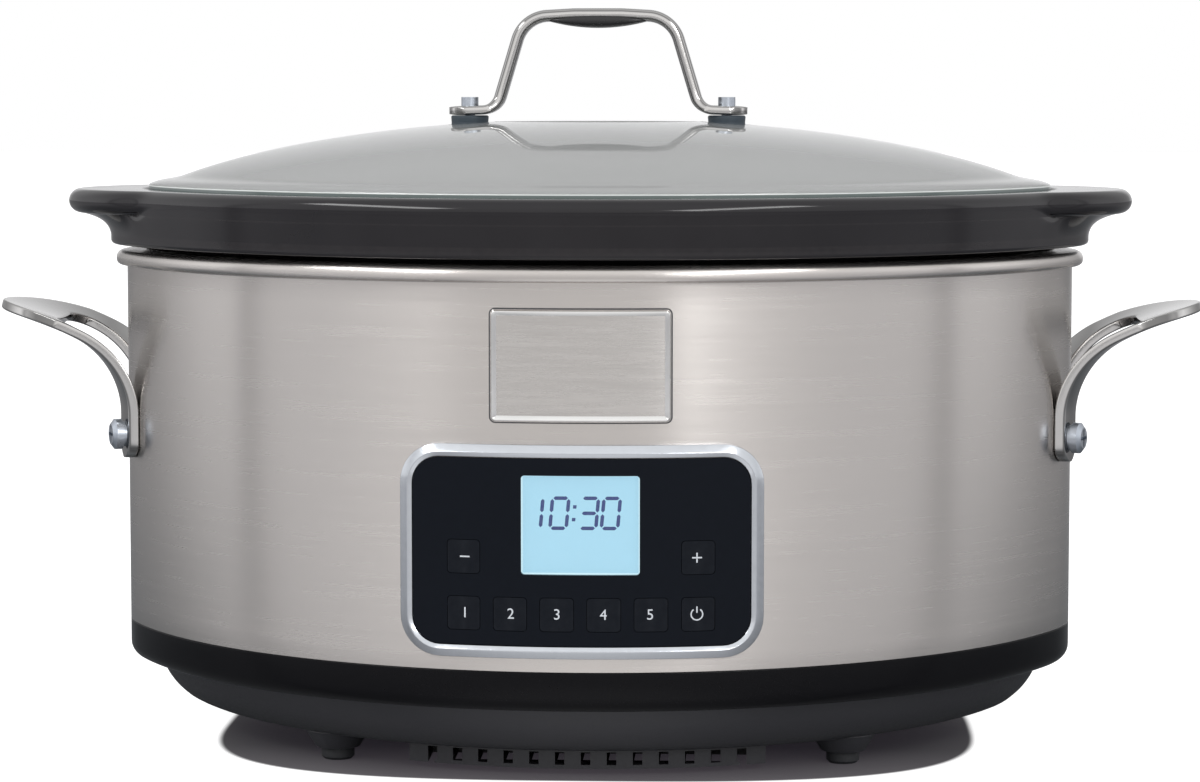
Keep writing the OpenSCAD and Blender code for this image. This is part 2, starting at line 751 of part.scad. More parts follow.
module panel_screws() color("silver") at_panel_corners() {
    front_pin(small_screw_r - 0.25, -tray_seat - tray_flange_t - 0.1, -0.4);
    front_pin(2.1, -tray_seat - tray_flange_t - 1.4, -tray_seat - tray_flange_t - 0.03);
}

// ---- bare name plate ----
module name_plate() color("silver") {
    bevel = 0.9;
    at_front(plate_z) {
        front_plate(plate_w, plate_h, 1.5, fit_gap, plate_t - bevel + fit_gap);
        front_plate(plate_w - 2 * bevel, plate_h - 2 * bevel, 1, fit_gap, plate_t + fit_gap);
    }
    for (x = [-1, 1]) at_front(plate_z, x * plate_pin_x) front_pin(plate_pin_r, -4, 1);
}

module plate_clips() color("dimgray") for (x = [-1, 1]) at_front(plate_z, x * plate_pin_x)
    difference() {
        front_pin(4.5, -shell_t - 0.7, -shell_t - fit_gap);
        front_pin(plate_pin_r + 0.05, -4, 1);
    }

// ---- side handles ----
// The bent plate from the side: upright foot, lower bend and the tongue's gentle curve.
// The two curves meet on the slope of an 8-15-17 triangle through both their centres.
module handle_profile() {
    step = tongue_extra_r / 17;
    wedge = 5 * step;
    tongue_r = handle_bend_r + tongue_extra_r;
    translate([fit_gap, handle_foot_z]) square([handle_t, handle_bend_z - handle_foot_z]);
    translate([handle_seat + handle_bend_r, handle_bend_z]) {
        intersection() {
            plate_curve(handle_bend_r);
            polygon([[0, 0], [-8 * wedge, 0], [-8 * wedge, 15 * wedge]]);
        }
        translate([8 * step, -15 * step]) intersection() {
            plate_curve(tongue_r);
            polygon([[0, 0], [-8 * wedge, 15 * wedge], [0, 15 * wedge]]);
        }
    }
}

module plate_curve(r) {
    difference() {
        circle(r + handle_t);
        circle(r);
    }
}

module side_handle() {
    tip_x = half_len + handle_reach - tongue_tip_r;
    finger_x = half_len + finger_reach;
    finger_half = arm_y - arm_w / 2;
    finger_r = 9;
    start_x = end_c + 20;
    tall = 2 * half_len;
    difference() {
        intersection() {
            translate([end_c, 0, 0]) rotate_extrude() translate([end_r, 0]) handle_profile();
            linear_extrude(tall) {
                translate([tip_x, 0]) circle(tongue_tip_r);
                translate([start_x, -arm_y - arm_w / 2]) square([tip_x - start_x, 2 * arm_y + arm_w]);
            }
            translate([start_x, 0, 0]) rotate([90, 0, 90]) linear_extrude(tall) {
                for (y = [-1, 1]) translate([y * arm_y, handle_foot_z + arm_w / 2]) circle(arm_w / 2);
                translate([-2 * arm_y, handle_foot_z + arm_w / 2]) square([4 * arm_y, half_len]);
            }
        }
        linear_extrude(tall) {
            translate([start_x - over, -finger_half])
                square([finger_x - finger_r - start_x + over, 2 * finger_half]);
            translate([start_x - over, -finger_half + finger_r])
                square([finger_x - start_x + over, 2 * (finger_half - finger_r)]);
            for (y = [-1, 1]) translate([finger_x - finger_r, y * (finger_half - finger_r)]) circle(finger_r);
        }
        for (way = [-1, 1]) translate([end_c, 0, handle_screw_z]) rotate([0, 0, way * arm_angle])
            translate([end_r - over, 0, 0]) rotate([0, 90, 0]) cylinder(r = handle_hole_r, h = handle_t + 3);
    }
}

module side_handle_right() color("silver") side_handle();
module side_handle_left() color("silver") mirror([1, 0, 0]) side_handle();

washer_t = 1.2;
screw_head_r = 5.7;
screw_head_h = 4;
screw_shank_r = 2.5;
nut_t = 4;

module handle_screws() color("lightsteelblue") at_handle_screws() {
    head_z = handle_seat + washer_t;
    difference() {
        union() {
            translate([0, 0, head_z]) cylinder(r = screw_head_r, h = screw_head_h - 1.4);
            translate([0, 0, head_z + screw_head_h - 1.4])
                cylinder(r1 = screw_head_r, r2 = screw_head_r - 1.8, h = 1.4);
        }
        for (turn = [0, 90]) rotate([0, 0, turn])
            translate([-3.2, -0.6, head_z + screw_head_h - 2.2]) cube([6.4, 1.2, 3]);
    }
    translate([0, 0, -7]) cylinder(r = screw_shank_r, h = head_z + 7.1);
}

// Split spring washers
module handle_washers() color("lightsteelblue") at_handle_screws() translate([0, 0, handle_seat])
    difference() {
        cylinder(r = 4.7, h = washer_t);
        translate([0, 0, -over]) cylinder(r = screw_shank_r + 0.2, h = washer_t + 2 * over);
        translate([2, -0.4, -over]) cube([5, 0.8, washer_t + 2 * over]);
    }

module handle_nuts() color("lightsteelblue") at_handle_screws() difference() {
    translate([0, 0, -shell_t - seat_gap - nut_t]) cylinder(r = 4.6, h = nut_t, $fn = 6);
    translate([0, 0, -10]) cylinder(r = screw_shank_r + 0.05, h = 10);
}

// ---- crock ----
lug_x = half_len + band_out + lug_reach - lug_r;
lug_round = lug_t / 2;
// Height and radius of the rim band's lower edge
band_low_z = band_foot_z + 2;
band_low_r = 2.5;
// How much a lug's underside falls towards its root
lug_fall = 1.6;
// Radius of the hollow where the underside turns down into the band
lug_root_r = 7;
crock_core = 54;
crock_corner_r = 18;

module crock() color([0.12, 0.12, 0.14]) {
    floor_z = crock_foot_z + crock_floor_t;
    out_foot = crock_out + well_draft;
    in_foot = crock_in(floor_z);
    in_top = crock_in(ledge_z);
    ring_sweep(concat(
        arc_pts(-out_foot - crock_corner_r / 2, crock_foot_z + crock_corner_r / 2,
            crock_corner_r / 2, -90, 0),
        [[-crock_out, band_foot_z + 4], [-crock_out + 1, band_foot_z]],
        [[-7, band_foot_z], [-4, band_low_z]],
        arc_pts(band_out - band_low_r, band_low_z + band_low_r, band_low_r, -90, 0),
        arc_pts(band_out - 3, crock_top_z - 3, 3, 0, 90),
        arc_pts(-ledge_in + 1.5, crock_top_z - 1.5, 1.5, 90, 180, 3),
        [[-ledge_in, ledge_z], [-ledge_in - ledge_w, ledge_z]],
        arc_pts(-ledge_in - ledge_w, ledge_z - 5, 5, 90, 160, 3),
        [[-in_top - 1.5, ledge_z - 16]],
        arc_pts(-in_foot - crock_corner_r, floor_z + crock_corner_r, crock_corner_r, 0, -90),
        [[-crock_core, floor_z], [-crock_core, crock_foot_z]]));
    oval_plate(-crock_core, crock_foot_z, crock_floor_t);
    both_ends() lug();
}

// A lug's section from its middle outwards: a round tip, an underside that falls towards
// the root and a hollow curve that ends inside the rim band
function lug_section() = let (root_z = -lug_round - lug_fall - lug_root_r) concat(
    [[0, lug_round]],
    arc_pts(lug_r - lug_round, 0, lug_round, 90, -80, 2 * arc_steps),
    arc_pts(lug_r - lug_reach + lug_root_r - 2, root_z, lug_root_r, 90, 180),
    [[0, root_z]]);

// A wide lug, kept clear of the crock's inside
module lug() difference() {
    intersection() {
        translate([lug_x, 0, crock_top_z - lug_round]) rotate_extrude() polygon(lug_section());
        translate([end_c, -reach / 2, 0]) cube([reach, reach, reach]);
    }
    oval_plate(band_out - 3, crock_foot_z, reach);
}

// ---- lid ----
// Outline points of the oval, moved outwards by grow
end_points = 7;
side_points = 18;
function oval_pts(grow) = concat(
    arc_pts_open(end_c, 0, end_r + grow, -end_half, end_half, end_points),
    arc_pts_open(0, -side_e, side_r + grow, end_half, 180 - end_half, side_points),
    arc_pts_open(-end_c, 0, end_r + grow, 180 - end_half, 180 + end_half, end_points),
    arc_pts_open(0, side_e, side_r + grow, 180 + end_half, 360 - end_half, side_points));
function arc_pts_open(cx, cy, r, from, to, steps) =
    [for (i = [0:steps - 1]) let (a = from + (to - from) * i / steps)
        [cx + r * cos(a), cy + r * sin(a)]];

function smooth(t) = let (c = min(max(t, 0), 1)) c * c * (3 - 2 * c);
function dome(x) = dome_z - dome_drop * (1 - sqrt(1 - x * x / (dome_half * dome_half)));
// Height of the glass where the scaled oval is x long from its middle
function glass_z(x) = let (
        s = smooth((x - well_floor_half) / (well_half - well_floor_half)),
        bowl = finger_floor_z - 1.4 * x * x / (well_floor_half * well_floor_half))
    x >= well_half ? dome(x) : (1 - s) * bowl + s * dome(x);

well_rings = 5;
dome_rings = 11;
ring_x = concat([lid_half * 0.001, well_floor_half / 2],
    [for (i = [0:well_rings]) well_floor_half + (well_half - well_floor_half) * i / well_rings],
    [for (i = [1:dome_rings]) well_half + (lid_half - well_half) * i / dome_rings]);

module glass_dome() {
    outline = oval_pts(-lid_inset);
    n = len(outline);
    m = len(ring_x);
    edge_drop = dome(lid_half) - lid_foot_z;
    top = [for (x = ring_x) for (p = outline) [p[0] * x / lid_half, p[1] * x / lid_half, glass_z(x)]];
    under = [for (i = [0:m - 1]) for (p = outline) let (x = ring_x[i] * (lid_half - (i == m - 1 ? 0 : 1)) / lid_half)
        [p[0] * x / lid_half, p[1] * x / lid_half, i == m - 1 ? lid_foot_z : glass_z(ring_x[i]) - glass_t]];
    bands = m - 1;
    quads = [for (i = [0:bands - 1], j = [0:n - 1]) let (k = (j + 1) % n)
        each [[i * n + j, (i + 1) * n + j, (i + 1) * n + k], [i * n + j, (i + 1) * n + k, i * n + k]]];
    low = m * n;
    quads_low = [for (i = [0:bands - 1], j = [0:n - 1]) let (k = (j + 1) % n)
        each [[low + i * n + j, low + (i + 1) * n + k, low + (i + 1) * n + j],
            [low + i * n + j, low + i * n + k, low + (i + 1) * n + k]]];
    rim = [for (j = [0:n - 1]) let (k = (j + 1) % n, a = bands * n)
        each [[a + j, low + a + j, low + a + k], [a + j, low + a + k, a + k]]];
    crown = [for (j = [1:n - 2]) [0, j, j + 1]];
    crown_low = [for (j = [1:n - 2]) [low, low + j + 1, low + j]];
    faces = [for (f = concat(quads, quads_low, rim, crown, crown_low)) [f[2], f[1], f[0]]];
    polyhedron(points = concat(top, under), faces = faces);
}

pad_r = 9.5;
lid_hole_r = 2.6;
pad_foot_z = pad_z - glass_t;

module lid_glass() color([0.75, 0.78, 0.78, 0.5]) difference() {
    union() {
        glass_dome();
        for (x = [-1, 1]) translate([x * lid_screw_x, 0, pad_foot_z])
            cylinder(r = pad_r - 1, h = glass_t - 0.5);
    }
    for (x = [-1, 1]) translate([x * lid_screw_x, 0, 0]) {
        translate([0, 0, pad_z]) cylinder(r = pad_r, h = glass_t);
        translate([0, 0, pad_z - 3 * glass_t]) cylinder(r = lid_hole_r, h = 4 * glass_t);
    }
}

module at_lid_screws() {
    for (x = [-1, 1]) translate([x * lid_screw_x, 0, 0]) children();
}

lid_shank_r = 2;
tab_z = pad_z + spacer_h;
cap_washer_t = 1;

module lid_spacers() color([0.3, 0.35, 0.4]) at_lid_screws() translate([0, 0, pad_z]) difference() {
    cylinder(r = spacer_d / 2, h = spacer_h);
    translate([0, 0, -over]) cylinder(r = lid_shank_r + 0.1, h = spacer_h + 2 * over);
}

// The legs lean on the slope of a 7-24-25 triangle
lean_x = 0.28;
lean_z = 0.96;
leg_lean = atan2(7, 24);
tab_x = lid_screw_x - 5.7;
foot_bend_z = tab_z + bow_t / 2 + foot_bend_r;
leg_foot_x = tab_x - foot_bend_r * lean_z;
leg_foot_z = foot_bend_z - foot_bend_r * lean_x;
bow_flat = leg_foot_x - leg_len * lean_x - bow_bend_r * lean_z;
bow_bend_z = leg_foot_z + leg_len * lean_z - bow_bend_r * lean_x;
bow_z = bow_bend_z + bow_bend_r;

// The bow's section: a flat bar with round edges, x across its thickness
module bow_section() {
    square([bow_t, bow_w - bow_t], center = true);
    for (y = [-1, 1]) translate([0, y * (bow_w - bow_t) / 2]) circle(bow_t / 2);
}

// A bend of the bow in the XZ plane, kept between two directions from its centre
module bow_bend(r, clip) {
    rotate([90, 0, 0]) intersection() {
        rotate_extrude() translate([r, 0]) bow_section();
        linear_extrude(2 * bow_w, center = true) polygon(clip);
    }
}

module lid_handle() color("silver") {
    far = 50;
    translate([-bow_flat, 0, bow_z]) rotate([0, 90, 0]) linear_extrude(2 * bow_flat) bow_section();
    both_ends() {
        translate([bow_flat, 0, bow_bend_z])
            bow_bend(bow_bend_r, [[0, 0], [0, far], [far, far], far * [lean_z, lean_x]]);
        translate([leg_foot_x, 0, leg_foot_z]) rotate([0, -leg_lean, 0])
            linear_extrude(leg_len) bow_section();
        translate([tab_x, 0, foot_bend_z])
            bow_bend(foot_bend_r, [[0, 0], -far * [lean_z, lean_x], [-far, -far], [0, -far]]);
        difference() {
            translate([0, 0, tab_z]) linear_extrude(tab_t) {
                translate([lid_screw_x, 0]) circle(spacer_d / 2 + 0.6);
                translate([tab_x, -bow_w / 2]) square([lid_screw_x - tab_x, bow_w]);
            }
            translate([lid_screw_x, 0, tab_z - over]) cylinder(r = lid_shank_r + 0.2, h = tab_t + 2 * over);
        }
    }
}

grip_lip = 0.8;
grip_rise = 2.3;
function lens_r(rise) = (grip_half * grip_half + rise * rise) / (2 * rise);

// A lens-shaped grip that wraps the lower part of the bow
module lid_grip() color([0.08, 0.08, 0.08]) difference() {
    bar_foot_z = bow_z - bow_t / 2;
    grip_w = bow_w + 2 * grip_lip;
    translate([0, 0, bar_foot_z]) rotate([90, 0, 0]) intersection() {
        translate([0, lens_r(grip_drop) - grip_drop])
            cylinder(r = lens_r(grip_drop), h = grip_w, center = true, $fn = 400);
        translate([0, grip_rise - lens_r(grip_rise)])
            cylinder(r = lens_r(grip_rise), h = grip_w, center = true, $fn = 400);
    }
    translate([-grip_half - over, -bow_w / 2, bar_foot_z - 0.06])
        cube([2 * grip_half + 2 * over, bow_w, bow_t]);
}

lid_head_r = 3.25;
lid_head_h = 3.4;
cap_nut_r = 6.4;
cap_nut_h = 3.4;
cap_nut_top_z = pad_foot_z - cap_washer_t;

module lid_screws() color("whitesmoke") at_lid_screws() {
    head_z = tab_z + tab_t;
    difference() {
        translate([0, 0, head_z]) cylinder(r = lid_head_r, h = lid_head_h);
        for (turn = [0, 90]) rotate([0, 0, turn])
            translate([-2.2, -0.5, head_z + lid_head_h - 1.8]) cube([4.4, 1, 2.4]);
    }
    translate([0, 0, cap_nut_top_z - 2]) cylinder(r = lid_shank_r, h = head_z - cap_nut_top_z + 2.1);
}

module lid_washers() color("gray") at_lid_screws() translate([0, 0, cap_nut_top_z]) difference() {
    cylinder(r = cap_nut_r + 0.3, h = cap_washer_t);
    translate([0, 0, -over]) cylinder(r = lid_shank_r + 0.1, h = cap_washer_t + 2 * over);
}

module lid_nuts() color("lightgray") at_lid_screws() difference() {
    cap_r = (cap_nut_r * cap_nut_r + cap_nut_h * cap_nut_h) / (2 * cap_nut_h);
    intersection() {
        translate([0, 0, cap_nut_top_z - cap_nut_h + cap_r]) sphere(r = cap_r);
        translate([0, 0, cap_nut_top_z - cap_nut_h]) cylinder(r = 2 * cap_nut_r, h = cap_nut_h);
    }
    translate([0, 0, cap_nut_top_z - 2.2]) cylinder(r = lid_shank_r + 0.05, h = 3);
}

outer_shell();
heating_well();
heater_band();
band_clamp();
heater_terminals();
thermal_fuse();
temperature_sensor();
heat_shield();
tie_bolts();
tie_spacers();
base_ring();
base_pan();
vent_cover();
rubber_foot(-1, -1);  // foot_front_left
rubber_foot(1, -1);  // foot_front_right
rubber_foot(-1, 1);  // foot_rear_left
rubber_foot(1, 1);  // foot_rear_right
cord_gland();
terminal_block();
power_board();
relay();
transformer();
board_screws();
bezel();
fascia();
display_window();
display_module();
control_board();
key_switches();
panel_tray();
panel_screws();
for (k = KEYS) key_cap(k[1], k[2]);
name_plate();
plate_clips();
side_handle_left();
side_handle_right();
handle_screws();
handle_washers();
handle_nuts();
crock();
lid_glass();
lid_handle();
lid_grip();
lid_spacers();
lid_screws();
lid_washers();
lid_nuts();
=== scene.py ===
"""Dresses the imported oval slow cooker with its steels, glaze, glass and panel marks.

Shapes are worked out in millimetres as numpy arrays and become meshes in metres, in the
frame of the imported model: +X runs along the oval, -Y is the front and +Z is up. A row of
a profile holds two places and the radius of the corner there.
"""

import logging
import math
from dataclasses import dataclass, field
from enum import Enum
from typing import Any, Sequence

import bpy
import numpy as np
from mathutils import Matrix
from numpy.typing import NDArray

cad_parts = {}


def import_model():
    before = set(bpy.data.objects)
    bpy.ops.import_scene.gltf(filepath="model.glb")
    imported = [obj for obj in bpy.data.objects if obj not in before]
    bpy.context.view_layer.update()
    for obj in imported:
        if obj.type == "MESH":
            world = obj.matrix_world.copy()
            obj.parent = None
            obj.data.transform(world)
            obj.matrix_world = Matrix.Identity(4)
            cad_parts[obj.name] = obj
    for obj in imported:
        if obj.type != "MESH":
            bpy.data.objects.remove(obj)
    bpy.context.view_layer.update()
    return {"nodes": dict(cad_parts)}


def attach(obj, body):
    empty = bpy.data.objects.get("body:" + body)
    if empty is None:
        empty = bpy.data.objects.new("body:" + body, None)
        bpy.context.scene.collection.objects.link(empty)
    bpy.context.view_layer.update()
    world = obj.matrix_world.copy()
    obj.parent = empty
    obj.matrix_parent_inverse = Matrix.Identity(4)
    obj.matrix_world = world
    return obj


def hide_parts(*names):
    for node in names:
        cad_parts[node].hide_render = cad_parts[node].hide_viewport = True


Array = NDArray[np.float64]
IntArray = NDArray[np.int64]
Pair = tuple[float, float]
Triple = tuple[float, float, float]
Colour = Triple
Rows = Sequence[Sequence[float]]
Socket = bpy.types.NodeSocket

MM = 0.001
EDGE_SHARE = 0.49  # how much of an edge the arc of one corner may take
SHORT, LONG, SLANT = 39.0, 80.0, 89.0  # sides of the triangles behind the four-arc oval
LOG = logging.getLogger("slow_cooker")


# ---------------------------------------------------------------- geometry


def unit(vectors: Array) -> Array:
    """Scales each vector of an array to length one."""
    return vectors / np.maximum(np.linalg.norm(vectors, axis=-1, keepdims=True), 1e-12)


def smooth(value: Array) -> Array:
    """Smoothstep: 3t^2 - 2t^3, with t kept between 0 and 1."""
    t = np.clip(value, 0.0, 1.0)
    return t * t * (3.0 - 2.0 * t)


def squared_up(wave: Array, power: Array | float) -> Array:
    """A sine or cosine to a power under one, with its sign: it squares a circle up."""
    return np.sign(wave) * np.abs(wave) ** power


def bearing(angle: Array) -> Array:
    """Vectors of length one in a plane, at these angles."""
    return np.stack([np.cos(angle), np.sin(angle)], -1)


def whole_turn(count: int) -> Array:
    """Angles at equal steps all the way round."""
    return np.linspace(0.0, 2.0 * math.pi, count, endpoint=False)


def lengths(line: Array) -> Array:
    """How far along a line each of its points lies."""
    return np.concatenate([[0.0], np.cumsum(np.linalg.norm(np.diff(line, axis=0), axis=1))])


def rounded(corners: Rows, steps: int = 7, closed: bool = True) -> Array:
    """Rounds the corners of an outline.

    Each corner is replaced by an arc of its own radius, tangent to both neighbouring
    edges: the arc's ends lie r / tan(a) from the corner and its centre r / sin(a) along
    the bisector, where a is half the corner's angle.

    Args:
        corners: rows of x, y and radius.
        steps: points on each arc.
        closed: whether the last corner joins the first.

    Returns:
        The outline's points, one row each.
    """
    rows = np.asarray(corners, float)
    here, radius = rows[:, :2], rows[:, 2]
    before, after = np.roll(here, 1, axis=0) - here, np.roll(here, -1, axis=0) - here
    room = EDGE_SHARE * np.minimum(np.linalg.norm(before, axis=1), np.linalg.norm(after, axis=1))
    before, after = unit(before), unit(after)
    half = 0.5 * np.arccos(np.clip((before * after).sum(axis=1), -1.0, 1.0))
    radius = np.minimum(radius, room * np.tan(half))
    centre = here + unit(before + after) * (radius / np.sin(half))[:, None]
    start = here + before * (radius / np.tan(half))[:, None] - centre
    end = here + after * (radius / np.tan(half))[:, None] - centre
    turn = np.maximum(math.pi - 2.0 * half, 1e-4)[:, None, None]
    t = np.linspace(0.0, 1.0, steps)[None, :, None]
    arcs = centre[:, None] + (
        np.sin((1.0 - t) * turn) * start[:, None] + np.sin(t * turn) * end[:, None]
    ) / np.sin(turn)
    if closed:
        return arcs.reshape(-1, 2)
    return np.concatenate([here[:1], arcs[1:-1].reshape(-1, 2), here[-1:]])


def subdivided(line: Array, pitch: float, closed: bool = False) -> Array:
    """Adds points along a line so that no step is longer than a pitch.

    Args:
        line: the points, one row each.
        pitch: the longest step.
        closed: whether the last point joins the first.

    Returns:
        The line with the points added.
    """
    ends = np.roll(line, -1, axis=0) if closed else line[1:]
    starts = line if closed else line[:-1]
    counts = np.maximum(np.ceil(np.linalg.norm(ends - starts, axis=1) / pitch).astype(int), 1)
    index = np.repeat(np.arange(len(starts)), counts)
    first = np.repeat(np.cumsum(counts) - counts, counts)
    t = ((np.arange(counts.sum()) - first) / counts[index])[:, None]
    points = starts[index] * (1.0 - t) + ends[index] * t
    return points if closed else np.concatenate([points, line[-1:]])


def spaced(line: Array, count: int) -> Array:
    """Picks points at equal steps of a line's length.

    Args:
        line: the points, one row each.
        count: how many to pick, both ends included.

    Returns:
        The picked points.
    """
    far = lengths(line)
    at = np.linspace(0.0, far[-1], count)
    return np.stack([np.interp(at, far, line[:, i]) for i in range(line.shape[1])], -1)


@dataclass(frozen=True)
class Patch:
    """A surface in millimetres: its points and the faces that join them."""

    points: Array
    quads: IntArray
    tris: IntArray

    @classmethod
    def grid(cls, points: Array, wrap: tuple[bool, bool] = (True, True), poles: bool = False) -> "Patch":
        """Joins a grid of points into a surface.

        Args:
            points: rows by columns by 3.
            wrap: whether the last row joins the first, and the last column the first.
            poles: whether the first and the last row close on their middles.

        Returns:
            The surface, with its faces turned outwards.
        """
        rows, cols = points.shape[:2]
        row = np.arange(rows if wrap[0] else rows - 1)[:, None] * cols
        col = np.arange(cols if wrap[1] else cols - 1)[None, :]
        row_next, col_next = (row + cols) % (rows * cols), (col + 1) % cols
        corners = [row + col, row_next + col, row_next + col_next, row + col_next]
        quads = np.stack(corners, -1).reshape(-1, 4)
        flat = points.reshape(-1, 3)
        tris = np.zeros((0, 3), int)
        if poles:
            flat = np.concatenate([flat, points[[0, -1]].mean(axis=1)])
            here = np.arange(cols)
            there = (here + 1) % cols
            last = (rows - 1) * cols
            low = np.stack([np.full(cols, rows * cols), here, there], -1)
            high = np.stack([np.full(cols, rows * cols + 1), last + there, last + here], -1)
            tris = np.concatenate([low, high])
        return cls(flat, quads, tris).outward()

    @classmethod
    def capped(cls, points: Array) -> "Patch":
        """A grid that goes round along its rows and is closed at its first and last row."""
        return cls.grid(points, (False, True), True)

    @classmethod
    def sheet(cls, points: Array) -> "Patch":
        """A grid with four free edges."""
        return cls.grid(points, (False, False))

    @classmethod
    def triangles(cls, points: Array, tris: IntArray) -> "Patch":
        """A surface made of triangles alone."""
        return cls(points, np.zeros((0, 4), int), tris).outward()

    def outward(self) -> "Patch":
        """Turns the faces round if the volume that they enclose comes out negative.

        Returns:
            The surface, turned or as it is.
        """
        a, b, c, d = (self.points[self.quads[:, i]] for i in range(4))
        e, f, g = (self.points[self.tris[:, i]] for i in range(3))
        volume = (a * np.cross(b, c)).sum() + (a * np.cross(c, d)).sum() + (e * np.cross(f, g)).sum()
        if volume >= 0:
            return self
        return Patch(self.points, self.quads[:, ::-1], self.tris[:, ::-1])

    def mirrored(self) -> "Patch":
        """The same surface on the other side of the YZ plane."""
        return Patch(self.points * [-1.0, 1.0, 1.0], self.quads, self.tris).outward()


@dataclass(frozen=True)
class Oval:
    """The four-arc plan that every upright wall follows.

    The arcs' centres stand on 39-80-89 triangles, so a direction of the outward normal
    names one point: the centre of its arc plus the arc's radius along the normal.
    """

    length: float = 357.6
    depth: float = 276.0

    @property
    def step(self) -> float:
        """The triangles' unit."""
        return (self.length - self.depth) / (2.0 * (LONG + SHORT - SLANT))

    @property
    def end_c(self) -> float:
        """Distance of the end arcs' centres from the middle."""
        return LONG * self.step

    @property
    def side_e(self) -> float:
        """Distance of the long arcs' centres from the middle."""
        return SHORT * self.step

    @property
    def end_r(self) -> float:
        """Radius of the end arcs."""
        return self.length / 2.0 - self.end_c

    @property
    def side_r(self) -> float:
        """Radius of the long arcs."""
        return self.end_r + SLANT * self.step

    def turns(self, count: int) -> Array:
        """Spreads normals along the oval.

        Args:
            count: how many.

        Returns:
            Their directions at equal steps of length, starting at the back.
        """
        half = math.asin(SHORT / SLANT)
        breaks = np.array([-half, half, math.pi - half, math.pi + half, 2.0 * math.pi - half])
        radii = np.array([self.end_r, self.side_r, self.end_r, self.side_r])
        run = np.concatenate([[0.0], np.cumsum(np.diff(breaks) * radii)])
        start = 0.25 * run[-1] + 0.25 * (run[1] - run[0])
        return np.interp((np.arange(count) * run[-1] / count + start) % run[-1], run, breaks)

    def arc(self, cos: Array, sin: Array) -> tuple[Array, Array, Array]:
        """Finds the arc that has a point with this normal.

        Args:
            cos: the normal's x.
            sin: the normal's y.

        Returns:
            The x and the y of the arc's centre, and its radius.
        """
        on_end = np.abs(sin) < SHORT / SLANT
        x = np.where(on_end, np.sign(cos) * self.end_c, 0.0)
        y = np.where(on_end, 0.0, -np.sign(sin) * self.side_e)
        return x, y, np.where(on_end, self.end_r, self.side_r)

    def at(self, turn: Array, out: Array | float) -> Array:
        """Finds plan points by their normals.

        Args:
            turn: the normals' directions.
            out: how far out from the oval the points lie.

        Returns:
            Their x and y.
        """
        cos, sin = np.cos(turn), np.sin(turn)
        x, y, radius = self.arc(cos, sin)
        return np.stack([x + (radius + out) * cos, y + (radius + out) * sin], -1)

    def sweep(self, out: Array, height: Array, turn: Array) -> Array:
        """Carries a profile round the oval: rows follow the profile, columns the oval."""
        plan = self.at(*np.broadcast_arrays(turn[None, :], out))
        return np.concatenate([plan, np.broadcast_to(height, plan.shape[:2])[..., None]], -1)

    def front(self, x: Array, z: Array, out: Array | float) -> Array:
        """Points on the front: y is where the front arc, grown by out, passes x."""
        x, z, out = np.broadcast_arrays(x, z, out)
        return np.stack([x, self.side_e - np.sqrt((self.side_r + out) ** 2 - x**2), z], -1)


OVAL = Oval()


def swept(profile: Array, count: int = 288) -> Patch:
    """A closed profile of out and height carried round the oval."""
    return Patch.grid(OVAL.sweep(profile[:, :1], profile[:, 1:], OVAL.turns(count)))


def turned(profile: Array, centre: Sequence[float]) -> Patch:
    """Turns a profile about an upright axis.

    Args:
        profile: rows of radius and height; its ends are closed.
        centre: where the axis meets height 0.

    Returns:
        The turned surface.
    """
    angle = whole_turn(48)[None, :]
    radius, height = profile[:, :1], profile[:, 1:]
    x, y = centre[0] + radius * np.cos(angle), centre[1] + radius * np.sin(angle)
    return Patch.capped(np.stack([x, y, centre[2] + height + 0.0 * angle], -1))


# ---------------------------------------------------------------- finishes


